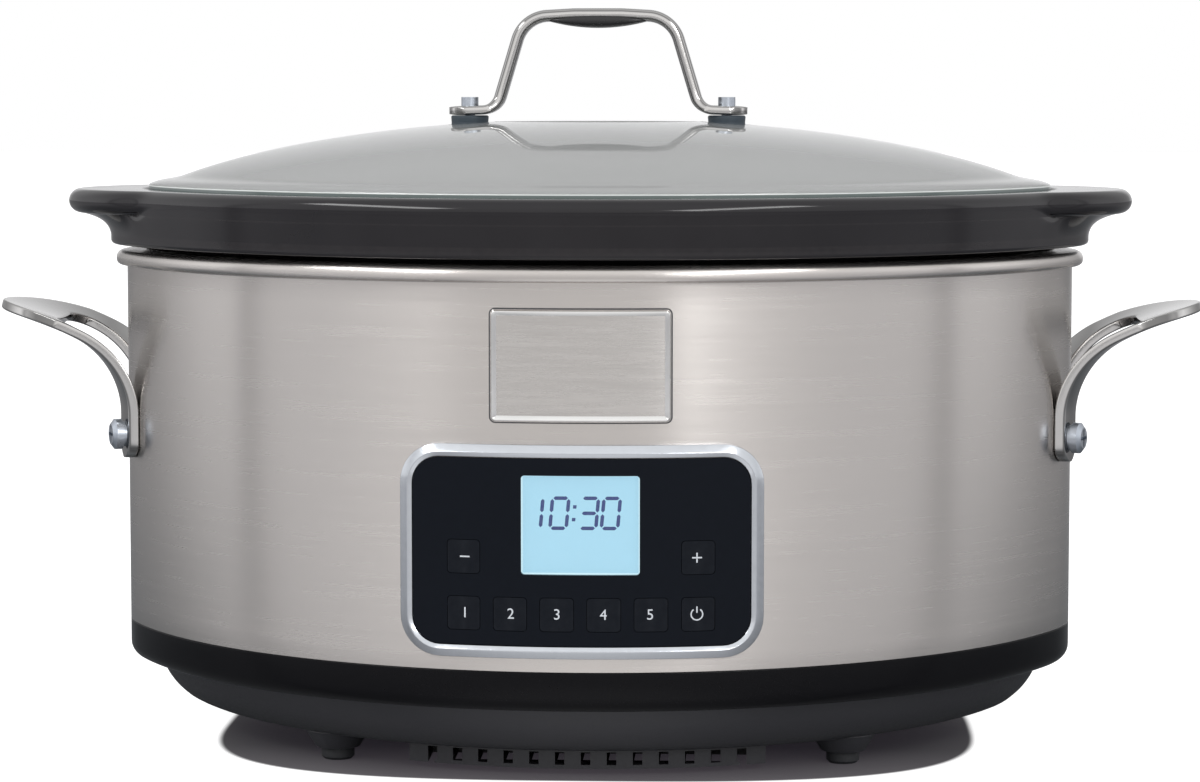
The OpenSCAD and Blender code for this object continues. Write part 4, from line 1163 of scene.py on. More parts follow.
@dataclass
class Lid:
    """The domed glass, its finger well, the bow handle and the screws that hold it."""

    crown_z: float = 232.2
    drop: float = 49.0
    dome_half: float = 191.0
    edge_inset: float = 8.2
    edge_low: float = 202.6
    lifted_from: float = 157.0
    rim_lift: float = 2.4
    roll_in: float = 1.6
    skirt_in: float = 5.0
    glass_t: float = 4.0
    well_half: float = 41.0
    well_floor: float = 27.0
    well_z: float = 221.6
    well_dome: float = 1.4
    screw_x: float = 48.6
    pad_z: float = 228.2
    pad_r: float = 11.5
    spacer_r: float = 7.2
    spacer_h: float = 5.2
    bar_z: float = 271.46
    bar_w: Pair = (6.3, 7.7)
    bar_t: float = 2.28
    tab_x: float = 36.0
    tab_z: float = 246.0
    tab_thinner: float = 0.5
    tab_end: float = 7.81
    grip_half: float = 20.0
    grip_w: float = 7.25
    grip_low: float = 266.3
    grip_ends: Pair = (2.86, 2.3)
    nut_rows: Rows = (
        (0.3, -3.4, 0.0), (3.2, -3.3, 3.0), (6.4, -0.8, 2.0), (6.4, 0.0, 0.2), (0.5, 0.0, 0.0)
    )

    @property
    def edge_half(self) -> float:
        """Half the glass's length."""
        return OVAL.length / 2.0 - self.edge_inset

    def height(self, along: Array) -> Array:
        """Height of the glass where its scaled oval is this long from the middle.

        Outside the finger well it is an ellipse, lifted a little towards its rim. Inside, a
        smoothstep carries it down to the well's slightly domed floor.

        Args:
            along: distances from the middle.

        Returns:
            The heights there.
        """
        dome = self.crown_z - self.drop * (1.0 - np.sqrt(1.0 - (along / self.dome_half) ** 2))
        lift = smooth((along - self.lifted_from) / (self.edge_half - self.lifted_from))
        dome = dome + self.rim_lift * lift
        step = smooth((along - self.well_floor) / (self.well_half - self.well_floor))
        floor = self.well_z - self.well_dome * (along / self.well_floor) ** 2
        return np.where(along >= self.well_half, dome, (1.0 - step) * floor + step * dome)

    def glass(self) -> Patch:
        """Rows run over the top from the middle, round the edge and back underneath.

        Each row is the edge's oval scaled down, and flat pads stand round the two screws.

        Returns:
            The glass.
        """
        turn, half = OVAL.turns(360), self.edge_half
        along = np.concatenate([
            np.linspace(0.6, self.well_floor, 14), np.linspace(self.well_floor, self.well_half, 18)[1:],
            np.linspace(self.well_half, half - self.roll_in, 60)[1:],
        ])
        ends = half - np.array([self.roll_in, 0.0, 7.0, 12.0])
        top = self.height(ends)
        edge = rounded([
            (ends[0], top[0], 0.0), (ends[1], top[1], 1.3), (half, self.edge_low, 1.0),
            (half - self.skirt_in, self.edge_low, 1.0), (ends[2], top[2] - self.glass_t, 2.0),
            (ends[3], top[3] - self.glass_t, 0.0),
        ], closed=False)
        under = along[along < half - 14.0][::-1]
        reach = np.concatenate([along, edge[1:, 0], under])
        level = np.concatenate([self.height(along), edge[1:, 1], self.height(under) - self.glass_t])
        plan = OVAL.at(turn, -self.edge_inset)[None] * (reach / half)[:, None, None]
        level = level[:, None] + 0.0 * turn[None, :]
        away = np.hypot(np.abs(plan[..., 0]) - self.screw_x, plan[..., 1])
        on_top = np.arange(len(reach))[:, None] < len(along)
        seat = np.where(on_top, self.pad_z, self.pad_z - self.glass_t)
        level = level + (seat - level) * smooth((self.pad_r - away) / 3.0)
        return Patch.capped(np.concatenate([plan, level[..., None]], -1))

    def rim(self) -> Patch:
        """The glass's ground edge, a hair outside the glass itself.

        Returns:
            The edge.
        """
        low, high = self.edge_low + 0.8, float(self.height(np.array(self.edge_half))) - 0.15
        out = -self.edge_inset + 0.05
        return swept(rounded([
            (out - 0.6, low, 0.1), (out, low, 0.2), (out, high - 0.2, 0.5), (out - 0.9, high + 0.16, 0.2),
            (out - 0.9, high - 0.3, 0.1),
        ]), 360)

    def bow(self) -> Patch:
        """A flat bar carried along its bends; its width and thickness change on the way.

        A point is the path's point plus the path's normal times a and the Y axis times b,
        where a and b run round a flattened superellipse.

        Returns:
            The bar.
        """
        top = self.bar_z
        half = [(56.4, 235.15, 0.0), (38.4, 235.6, 7.0), (27.97, top - 1.1, 12.5), (9.0, top, 40.0)]
        path = rounded([*((-x, z, r) for x, z, r in half), *half[::-1]], steps=22, closed=False)
        path = subdivided(path, 1.2)
        slope = unit(np.gradient(path, axis=0))
        normal = np.stack([-slope[:, 1], slope[:, 0]], -1)
        away = np.abs(path[:, 0])
        on_tab = smooth((path[:, 1] < self.tab_z) * (away - self.tab_x) / 6.0)
        slim, broad = self.bar_w
        width = slim + (broad - slim) * on_tab
        past = np.maximum(away - self.screw_x, 0.0) / self.tab_end
        nose = np.sqrt(np.clip(1.0 - past**2, 0.0, 1.0))
        thick = (self.bar_t - self.tab_thinner * on_tab) * np.maximum(nose, 0.3) ** 0.25
        angle = whole_turn(28)
        power = 0.62 - 0.22 * on_tab[:, None]
        side = squared_up(np.sin(angle), power) * (width * np.maximum(nose, 0.02))[:, None]
        rise = squared_up(np.cos(angle), power) * thick[:, None]
        x = path[:, :1] + normal[:, :1] * rise
        z = path[:, 1:] + normal[:, 1:] * rise
        return Patch.capped(np.stack([x, side, z], -1))

    def grip(self) -> Patch:
        """A lens from the side: two shallow arcs that meet at its ends, rounded across.

        Returns:
            The grip.
        """
        x = self.grip_half * np.sin(np.linspace(-0.497, 0.497, 41) * math.pi)[:, None]
        share = (x / self.grip_half) ** 2
        rise, fall = self.grip_ends
        low, high = self.grip_low + rise * share, self.bar_z - fall * share
        angle = whole_turn(32)[None, :]
        y = self.grip_w * (1.0 - share**3) ** 0.5 * squared_up(np.sin(angle), 0.55)
        z = (low + high) / 2.0 + (high - low) / 2.0 * squared_up(np.cos(angle), 0.7)
        return Patch.capped(np.stack([x + 0.0 * angle, y, z], -1))

    def pair(self, rows: Rows, base: float) -> list[Patch]:
        """A profile of radius and height turned about each screw, from a base height."""
        line = rounded(rows, closed=False)
        return [turned(line, (sign * self.screw_x, 0.0, base)) for sign in (-1, 1)]

    def build(self, shop: Workshop) -> None:
        """Makes the lid's pieces and dresses its screws and washers.

        The soft spacers have a faint waist, a thin bright ring lies in the glass round the
        foot of each, and the nuts under the glass are a short skirt with a cap.

        Args:
            shop: where the pieces go.
        """
        r, h = self.spacer_r, self.spacer_h
        waisted = [(0.5, 0.0, 0.1), (r, 0.0, 0.7), (r - 0.25, h / 2, 2.0), (r, h, 0.7), (0.5, h, 0.1)]
        flat = [(r - 0.6, -0.2, 0.0), (r + 0.7, -0.2, 0.1), (r + 0.7, 0.45, 0.3), (r - 0.6, 0.45, 0.0)]
        spacers, rings = self.pair(waisted, self.pad_z), self.pair(flat, self.pad_z)
        nuts = self.pair(self.nut_rows, self.pad_z - self.glass_t - 1.0)
        shop.piece("domed_glass", [self.glass()], "lid", LID_GLASS, ["lid_glass"], sharp=50.0)
        shop.piece("ground_glass_edge", [self.rim()], "lid", RIM_GLASS, sharp=50.0)
        shop.piece("bow_handle", [self.bow()], "lid", POLISHED_STEEL, ["lid_handle"])
        shop.piece("lens_grip", [self.grip()], "lid", GRIP_BLACK, ["lid_grip"], sharp=60.0)
        shop.piece("soft_spacers", spacers, "lid", SPACER_SILICONE, ["lid_spacers"])
        shop.piece("seat_rings", rings, "lid", BRIGHT_STEEL)
        shop.piece("cap_nuts", nuts, "lid", POLISHED_STEEL, ["lid_nuts"])
        shop.dress(ZINC_STEEL, "lid_screws", "lid_washers")


@dataclass
class SideHandle:
    """A strip of stainless plate bent out of the shell's end into an open tongue.

    The centres of its two bends lie apart on the slope of a triangle, which is given by
    its run, its rise and its long side, times a step.
    """

    thick: float = 3.5
    seat: float = 0.15
    foot_z: float = 105.5
    bend_z: float = 122.0
    bend_r: float = 32.0
    slope: Triple = (8.0, 15.0, 17.0)
    slope_step: float = 4.5
    tip_r: float = 36.0
    reach: float = 49.0
    arm_y: float = 28.0
    arm_w: float = 13.0
    finger_out: float = 27.0
    finger_r: float = 9.0
    edge_r: float = 0.8

    def line(self) -> tuple[Array, Array, Array]:
        """The plate's outer face from the side.

        A straight foot, then an arc about the lower bend's centre, then a wider arc about
        a centre on the same slope, so that both arcs share a tangent.

        Returns:
            Each point's run length, its distance out and its height.
        """
        over, up, long = self.slope
        face = self.seat + self.thick
        centre = np.array([face + self.bend_r, self.bend_z])
        joint = math.pi - math.atan2(up, over)
        foot = np.stack([np.full(12, face), np.linspace(self.foot_z, self.bend_z, 12)], -1)
        low = centre + self.bend_r * bearing(np.linspace(math.pi, joint, 40)[1:])
        high = bearing(np.linspace(joint, math.pi / 2.0, 60)[1:]) * (self.bend_r + long * self.slope_step)
        high = centre + self.slope_step * np.array([over, -up]) + high
        points = np.concatenate([foot, low, high])
        return lengths(points), points[:, 0], points[:, 1]

    def laid(self, plan: Array) -> Array:
        """Lays plan points on the plate.

        Args:
            plan: points measured from the shell's end.

        Returns:
            Their run length, found where their distance from the end arc meets the
            plate, and their y.
        """
        run, out, _ = self.line()
        away = np.hypot(plan[:, 0] + OVAL.end_r, plan[:, 1]) - OVAL.end_r
        return np.stack([np.interp(away, out, run), plan[:, 1]], -1)

    def edges(self) -> tuple[Array, Array]:
        """The strip's two long edges.

        Each starts at the tip of one rounded foot, climbs its arm, goes round the tongue or
        the finger opening, and comes down to the tip of the other foot.

        Returns:
            The outer edge and the inner one, as run length along the plate and y.
        """
        half, tip = self.arm_w / 2.0, self.reach - self.tip_r
        low, flip = self.seat + self.thick + 0.4, np.array([1.0, -1.0])
        wide, narrow, far = self.arm_y + half, self.arm_y - half, self.finger_out
        lean = math.asin(wide / self.tip_r)
        angle = np.linspace(-lean, lean, 61)
        round_tip = np.stack([tip + self.tip_r * np.cos(angle), self.tip_r * np.sin(angle)], -1)
        outer = self.laid(subdivided(np.concatenate([[[low, -wide]], round_tip, [[low, wide]]]), 2.0))
        hole = [(low, -narrow, 0.0), (far, -narrow, self.finger_r), (far, narrow, self.finger_r)]
        inner = self.laid(subdivided(rounded([*hole, (low, narrow, 0.0)], steps=16, closed=False), 2.0))
        turn = np.linspace(0.0, math.pi / 2.0, 12)[:, None]
        foot = np.concatenate([half * (1.0 - np.cos(turn)), half * np.sin(turn)], -1)
        outer_foot, inner_foot = foot * flip - [0.0, self.arm_y], foot - [0.0, self.arm_y]
        return (
            np.concatenate([outer_foot, outer, (outer_foot * flip)[::-1]]),
            np.concatenate([inner_foot, inner, (inner_foot * flip)[::-1]]),
        )

    def right(self) -> Patch:
        """Rows run along the strip and columns round its section, whose corners are round.

        A column's place across the strip is a share of the line from the outer edge to the
        inner one, and its depth is measured along the bent face's normal.

        Returns:
            The handle on the right.
        """
        run, out, high = self.line()
        outer, inner = (spaced(edge, 261) for edge in self.edges())
        across = np.linalg.norm(outer - inner, axis=1)[:, None]
        bend = np.linspace(0.0, math.pi / 2.0, 6)
        from_side, from_face = self.edge_r * (1.0 - np.sin(bend)), self.edge_r * (1.0 - np.cos(bend))
        near = np.minimum(from_side / np.maximum(across, 1e-6), 0.5)
        near_up = np.minimum(from_face / np.maximum(across, 1e-6), 0.5)
        face = np.linspace(0.0, 1.0, 9)[None, 1:-1] + 0.0 * across
        far, far_up = 1 - near[:, ::-1], 1 - near_up[:, ::-1]
        share = np.concatenate([near, near_up, face, far_up, far, face[:, ::-1]], axis=1)[..., None]
        top, back = self.thick - from_side, np.full(7, self.thick)
        depth = np.concatenate([from_face, top, back, top[::-1], from_face[::-1], np.zeros(7)])
        flat = outer[:, None] * (1.0 - share) + inner[:, None] * share
        slope = unit(np.stack([np.gradient(out, run), np.gradient(high, run)], -1))
        place, side = flat[..., 0], flat[..., 1]
        away = np.interp(place, run, out) - np.interp(place, run, slope[:, 1]) * depth
        rise = np.interp(place, run, high) + np.interp(place, run, slope[:, 0]) * depth
        x = OVAL.end_c + np.sqrt(np.maximum((OVAL.end_r + away) ** 2 - side**2, 0.0))
        return Patch.capped(np.stack([x, side, rise], -1))

    def build(self, shop: Workshop) -> None:
        """Makes both handles and dresses their fasteners.

        Args:
            shop: where the handles go.
        """
        right = self.right()
        for side, patch in (("right", right), ("left", right.mirrored())):
            shop.piece(
                f"plate_handle_{side}", [patch], "housing", POLISHED_STEEL,
                [f"side_handle_{side}"],
            )
        shop.dress(ZINC_STEEL, "handle_screws", "handle_washers", "handle_nuts")


@dataclass
class FrontPart:
    """Something that lies on the shell's front inside a rounded rectangle."""

    width: float
    height: float
    middle_z: float
    corner: float

    def carried(self, section: Array) -> Patch:
        """Carries a section round the rectangle, on the front arc.

        Each point of the outline goes with the normal of its side, and a corner's points
        with the directions of its arc, so an inset point is the outline's point minus the
        inset times the normal.

        Args:
            section: rows of inset and out, closed.

        Returns:
            The ring that the section makes.
        """
        angle = np.linspace(0.0, math.pi / 2.0, 10)
        turn = (angle[None, :] + np.arange(4)[:, None] * math.pi / 2.0).reshape(-1)
        sign = np.array([[1, 1], [-1, 1], [-1, -1], [1, -1]], float).repeat(len(angle), axis=0)
        inner = [self.width / 2.0 - self.corner, self.height / 2.0 - self.corner]
        points = sign * inner + self.corner * bearing(turn)
        both = subdivided(np.concatenate([points, bearing(turn)], axis=1), 2.0, closed=True)
        line, normal = both[:, :2], unit(both[:, 2:])
        inset, out = section[:, :1], section[:, 1:]
        x = line[:, 0] - inset * normal[:, 0]
        z = self.middle_z + line[:, 1] - inset * normal[:, 1]
        return Patch.grid(OVAL.front(x, z, out))


@dataclass(frozen=True)
class Spot:
    """A place on the front: its x, its height and how far out from the shell it stands."""

    x: float
    z: float
    out: float

    def beside(self, right: Array, up: Array) -> Array:
        """Points on the front that lie this far to the right of the place and above it."""
        return OVAL.front(self.x + right, self.z + up, self.out)


class Segment(Enum):
    """The seven bars of a display digit: centre x and z as shares, and whether upright."""

    TOP = (0.0, 1.0, False)
    MIDDLE = (0.0, 0.0, False)
    BOTTOM = (0.0, -1.0, False)
    TOP_LEFT = (-1.0, 0.5, True)
    TOP_RIGHT = (1.0, 0.5, True)
    LOW_LEFT = (-1.0, -0.5, True)
    LOW_RIGHT = (1.0, -0.5, True)


DIGITS: dict[str, tuple[Segment, ...]] = {
    "0": (
        Segment.TOP, Segment.BOTTOM, Segment.TOP_LEFT, Segment.TOP_RIGHT, Segment.LOW_LEFT,
        Segment.LOW_RIGHT,
    ),
    "1": (Segment.TOP_RIGHT, Segment.LOW_RIGHT),
    "3": (Segment.TOP, Segment.MIDDLE, Segment.BOTTOM, Segment.TOP_RIGHT, Segment.LOW_RIGHT),
}


@dataclass
class ControlPanel(FrontPart):
    """The silver bezel, the black fascia, the lit display and the keys' marks."""

    width: float = 126.0
    height: float = 74.0
    middle_z: float = 84.9
    corner: float = 14.0
    face: float = 4.4
    stand: float = 3.2
    fascia_out: float = 2.2
    key_x: float = 40.0
    key_pitch: float = 16.0
    key_rows: Pair = (63.4, 83.0)
    number_size: float = 5.2
    mark_w: float = 3.4
    ink_w: float = 0.5
    power_r: Pair = (1.75, 2.2)
    window_z: float = 94.3
    display_y: float = -136.6
    time: tuple[tuple[str, float], ...] = (("1", -16.2), ("0", -7.3), ("3", 2.9), ("0", 10.4))
    time_rise: float = 3.9
    colon_x: float = -2.2
    digit_half: Pair = (2.8, 2.6)
    bar: float = 0.62
    lean: float = 0.09

    def bezel(self) -> Patch:
        """A frame's section carried round the panel's rounded rectangle.

        Returns:
            The frame.
        """
        face = self.face
        return self.carried(rounded([
            (0.0, 0.15, 0.1), (0.0, 1.5, 0.4), (2.8, self.stand, 0.6), (face - 0.1, 2.3, 0.25),
            (face + 0.1, 0.3, 0.1),
        ], steps=6))

    def strokes(self, bars: Rows, spot: Spot) -> list[Patch]:
        """Flat bars on the front.

        Args:
            bars: the middle, width and height of each, about the spot.
            spot: the mark's place.

        Returns:
            The bars.
        """
        across, up = np.array([[-0.5, 0.5], [-0.5, 0.5]]), np.array([[-0.5, -0.5], [0.5, 0.5]])
        return [Patch.sheet(spot.beside(x + across * wide, z + up * high)) for x, z, wide, high in bars]

    def number(self, text: str, spot: Spot) -> list[Patch]:
        """A printed number: the text's outline filled and laid on the front arc.

        Args:
            text: the number.
            spot: its place.

        Returns:
            The filled outline.
        """
        curve = bpy.data.curves.new("number", "FONT")
        curve.body, curve.size, curve.align_x, curve.align_y = text, self.number_size, "CENTER", "CENTER"
        thing = bpy.data.objects.new("number", curve)
        bpy.context.scene.collection.objects.link(thing)
        bpy.context.view_layer.update()
        mesh = bpy.data.meshes.new_from_object(thing.evaluated_get(bpy.context.evaluated_depsgraph_get()))
        mesh.calc_loop_triangles()
        flat = np.zeros(len(mesh.vertices) * 3)
        mesh.vertices.foreach_get("co", flat)
        tris = np.zeros(len(mesh.loop_triangles) * 3, int)
        mesh.loop_triangles.foreach_get("vertices", tris)
        bpy.data.objects.remove(thing)
        bpy.data.meshes.remove(mesh)
        flat = flat.reshape(-1, 3)
        return [Patch.triangles(spot.beside(flat[:, 0], flat[:, 1]), tris.reshape(-1, 3))]

    def power_mark(self, spot: Spot) -> list[Patch]:
        """An open ring with a bar in its gap, the usual sign for a power key.

        Args:
            spot: the mark's place.

        Returns:
            The ring and the bar.
        """
        angle = np.radians(np.linspace(125.0, 415.0, 40))[None, :]
        radius = np.array(self.power_r)[:, None]
        ring = Patch.sheet(spot.beside(radius * np.cos(angle), radius * np.sin(angle)))
        return [ring, *self.strokes([(0.0, 1.6, 0.45, 2.2)], spot)]

    def marks(self, out: float) -> dict[str, list[Patch]]:
        """Draws every key's mark.

        Args:
            out: how far the marks stand out from the shell.

        Returns:
            The marks by the bodies of their keys.
        """
        side, low, high = self.key_x, *self.key_rows
        dash = (0.0, 0.0, self.mark_w, self.ink_w)
        arms = [(0.0, up, self.ink_w, 1.4) for up in (1.0, -1.0)]
        marks = {
            "key_minus": self.strokes([dash], Spot(-side, high, out)),
            "key_plus": self.strokes([dash, *arms], Spot(side, high, out)),
        }
        for n in range(1, 6):
            marks[f"key_{n}"] = self.number(str(n), Spot(-side + self.key_pitch * (n - 1), low, out))
        marks["key_power"] = self.power_mark(Spot(side, low, out))
        return marks

    def flat_shape(self, shape: Array, x: float) -> Patch:
        """A convex outline filled as a fan, standing just before the display's face.

        Args:
            shape: the outline about the digit's middle; it leans over as it goes up.
            x: where the digit's middle is.

        Returns:
            The filled outline.
        """
        points = np.stack([
            x + shape[:, 0] + self.lean * shape[:, 1], np.full(len(shape), self.display_y - 0.05),
            self.window_z + self.time_rise + shape[:, 1],
        ], -1)
        index = np.arange(1, len(shape) - 1)
        return Patch.triangles(points, np.stack([np.zeros_like(index), index, index + 1], -1))

    def clock(self) -> list[Patch]:
        """Seven-bar digits for a time of day, each bar with pointed ends and a lean.

        Returns:
            The bars and the two dots.
        """
        patches: list[Patch] = []
        half_w, half_h = self.digit_half
        for text, x in self.time:
            for segment in DIGITS[text]:
                sx, sz, upright = segment.value
                end, bar = (half_h if upright else half_w) - 0.3, self.bar
                shape = np.array([
                    [-end, 0.0], [-end + bar, bar], [end - bar, bar], [end, 0.0],
                    [end - bar, -bar], [-end + bar, -bar],
                ])
                shape = shape[:, ::-1] if upright else shape
                patches.append(self.flat_shape(shape + [sx * half_w, sz * 2.0 * half_h], x))
        dot = np.array([[-0.6, -0.6], [0.6, -0.6], [0.6, 0.6], [-0.6, 0.6]])
        patches += [self.flat_shape(dot + [0.0, dz], self.colon_x) for dz in (-2.2, 2.2)]
        return patches

    def build(self, shop: Workshop) -> None:
        """Makes the bezel and the marks, and dresses the rest of the panel.

        Args:
            shop: where the pieces go.
        """
        shop.piece("silver_bezel", [self.bezel()], "housing", SILVER_TRIM, ["bezel"])
        for body, patches in self.marks(self.fascia_out + 0.03).items():
            shop.piece(f"mark_{body}", patches, body, INK_PALE)
        shop.piece("clock_digits", self.clock(), "housing", INK_NAVY)
        shop.dress(PANEL_BLACK, "fascia")
        shop.dress(KEY_BLACK, "key_minus", "key_plus", *(f"key_{n}" for n in range(1, 6)), "key_power")
        shop.dress(DISPLAY_BLUE, "display_module")
        shop.dress(WINDOW_FILM, "display_window")
        shop.dress(BOARD_GREEN, "control_board")
        shop.dress(MATT_BLACK, "panel_tray", "key_switches")
        shop.dress(ZINC_STEEL, "panel_screws")


@dataclass
class NamePlate(FrontPart):
    """The bare brushed plate above the panel, set in a polished frame."""

    width: float = 62.2
    height: float = 38.7
    middle_z: float = 149.0
    corner: float = 1.7
    seat: float = 0.15
    ridge: float = 2.15
    ridge_in: float = 0.75
    sunk: float = 0.89
    frame_w: float = 2.2
    # half the width of the dark strip that paints the shadow gap round the frame
    gap: float = 0.45

    def frame(self) -> Patch:
        """A ridge near the outer edge and a slope that runs in and down to the face.

        Returns:
            The frame.
        """
        return self.carried(rounded([
            (0.0, self.seat, 0.1), (0.0, 1.0, 0.3), (self.ridge_in, self.ridge, 0.35),
            (self.frame_w, self.sunk, 0.1), (self.frame_w, self.seat, 0.1),
        ], steps=6))

    def seam(self) -> Patch:
        """A dark strip that shows as a thin line round the frame: painted shadow in the gap at the plate's
        seat.
        """
        gap, out = self.gap, self.seat + 0.25
        return self.carried(np.array([[-gap, self.seat], [-gap, out], [gap, out], [gap, self.seat]]))

    def face(self) -> Patch:
        """The brushed sheet inside the frame.

        Returns:
            The sheet.
        """
        wide, high = (size / 2.0 - self.frame_w + 0.2 for size in (self.width, self.height))
        x, z = np.meshgrid(np.linspace(-wide, wide, 41), self.middle_z + np.linspace(-high, high, 5))
        return Patch.sheet(OVAL.front(x, z, self.sunk - 0.05))

    def build(self, shop: Workshop) -> None:
        """Makes the plate's face and frame and dresses its clips.

        Args:
            shop: where the pieces go.
        """
        shop.piece("bare_plate", [self.face()], "housing", PLATE_STEEL, ["name_plate"])
        shop.piece("plate_frame", [self.frame()], "housing", BRIGHT_STEEL, sharp=25.0)
        # painted shadow: a dark strip for the shadow gap round the frame
        shop.piece("plate_painted_shadow_gap", [self.seam()], "housing", MATT_BLACK)
        shop.dress(ZINC_STEEL, "plate_clips")


@dataclass
class InnerParts:
    """What the closed base holds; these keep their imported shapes."""

    def build(self, shop: Workshop) -> None:
        """Dresses the heater, the well, the boards and their fasteners.

        Args:
            shop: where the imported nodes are.
        """
        shop.dress(DRAWN_ALUMINIUM, "heating_well", "heat_shield")
        shop.dress(HEATER_MICA, "heater_band")
        shop.dress(ZINC_STEEL, "band_clamp", "tie_bolts", "tie_spacers", "board_screws", "transformer")
        shop.dress(WHITE_CERAMIC, "heater_terminals", "terminal_block")
        shop.dress(BRASS, "thermal_fuse", "temperature_sensor")
        shop.dress(BOARD_GREEN, "power_board")
        shop.dress(MATT_BLACK, "relay")


# ---------------------------------------------------------------- studio


@dataclass(frozen=True)
class Lamp:
    """A strip of soft light between two points, in metres; its power is in watts."""

    name: str
    start: Triple
    end: Triple
    width: float
    power: float = 9.5
    target: Triple = (0.0, 0.0, 0.2)

    def build(self) -> None:
        """Puts the lamp in the scene, turned to face the object.

        Its own Z axis points away from the object, its X axis runs from start to end as
        nearly as that allows, and its Y axis is square to both.
        """
        ends = np.array([self.start, self.end], float)
        place = ends.mean(axis=0)
        away = unit(place - np.array(self.target))
        along = ends[1] - ends[0]
        side = unit(along - along @ away * away)
        data = bpy.data.lights.new(self.name, "AREA")
        data.shape, data.size, data.size_y = "RECTANGLE", float(np.linalg.norm(along)), self.width
        data.energy = self.power
        thing = bpy.data.objects.new(self.name, data)
        axes = np.eye(4)
        axes[:3, :3] = np.stack([side, np.cross(away, side), away], -1)
        axes[:3, 3] = place
        thing.matrix_world = Matrix(axes.tolist())
        bpy.context.scene.collection.objects.link(thing)


@dataclass
class Room:
    """The studio's tones by direction, shared by the sky and the floor.

    A narrow darker band stands on each side, where two reflectors leave a gap. Each stop
    of the run is how far round towards the back it stands, from 0 to 1, and how bright.
    Towards the top the tones give way to the overhead light, which falls off towards the
    back. The camera itself sees the plain colour seen.
    """

    axis: Triple = (0.0, 1.0, 0.0)
    front: Colour = (1.02, 1.01, 1.0)
    back: Colour = (0.95, 0.95, 0.96)
    run: tuple[Pair, ...] = (
        (0.28, 1.00), (0.43, 1.06), (0.468, 0.66), (0.485, 0.66), (0.512, 1.22), (0.61, 1.16), (0.78, 0.68),
        (0.94, 0.42),
    )
    high: Pair = (0.15, 0.75)
    deep: Pair = (-0.6, 0.2)
    overhead: Pair = (1.12, 0.78)
    seen: Colour = (1.0, 1.0, 1.0)

    def tones(self, wiring: Wiring, way: Socket) -> Socket:
        """The studio's brightness by direction, from its front to its back.

        Args:
            wiring: the node tree that it goes into.
            way: the direction, of length one.

        Returns:
            The brightness as a colour.
        """
        ahead = wiring.ranged(wiring.vectors("DOT_PRODUCT", way, self.axis), (-1.0, 1.0))
        run = [(at, (level, level, level * 1.01)) for at, level in self.run]
        return wiring.ramp(ahead, [(0.0, self.front), *run, (1.0, self.back)])

    def build(self) -> None:
        """Makes the sky: brighter in front and overhead than behind the object."""
        world = bpy.data.worlds.new("studio")
        world.use_nodes = True
        bpy.context.scene.world = world
        wiring = Wiring(world.node_tree)
        wiring.tree.nodes.clear()
        way = wiring.add("ShaderNodeTexCoord").outputs["Generated"]
        _, y, z = wiring.split(way)
        above = wiring.ranged(y, self.deep, self.overhead)
        sky = wiring.mix(wiring.ranged(z, self.high, soft=True), self.tones(wiring, way), above)
        by_camera = wiring.add("ShaderNodeLightPath").outputs["Is Camera Ray"]
        colour = wiring.mix(by_camera, sky, self.seen)
        back = wiring.add("ShaderNodeBackground", {"Color": colour, "Strength": 1.0})
        wiring.add("ShaderNodeOutputWorld", {0: back.outputs[0]})


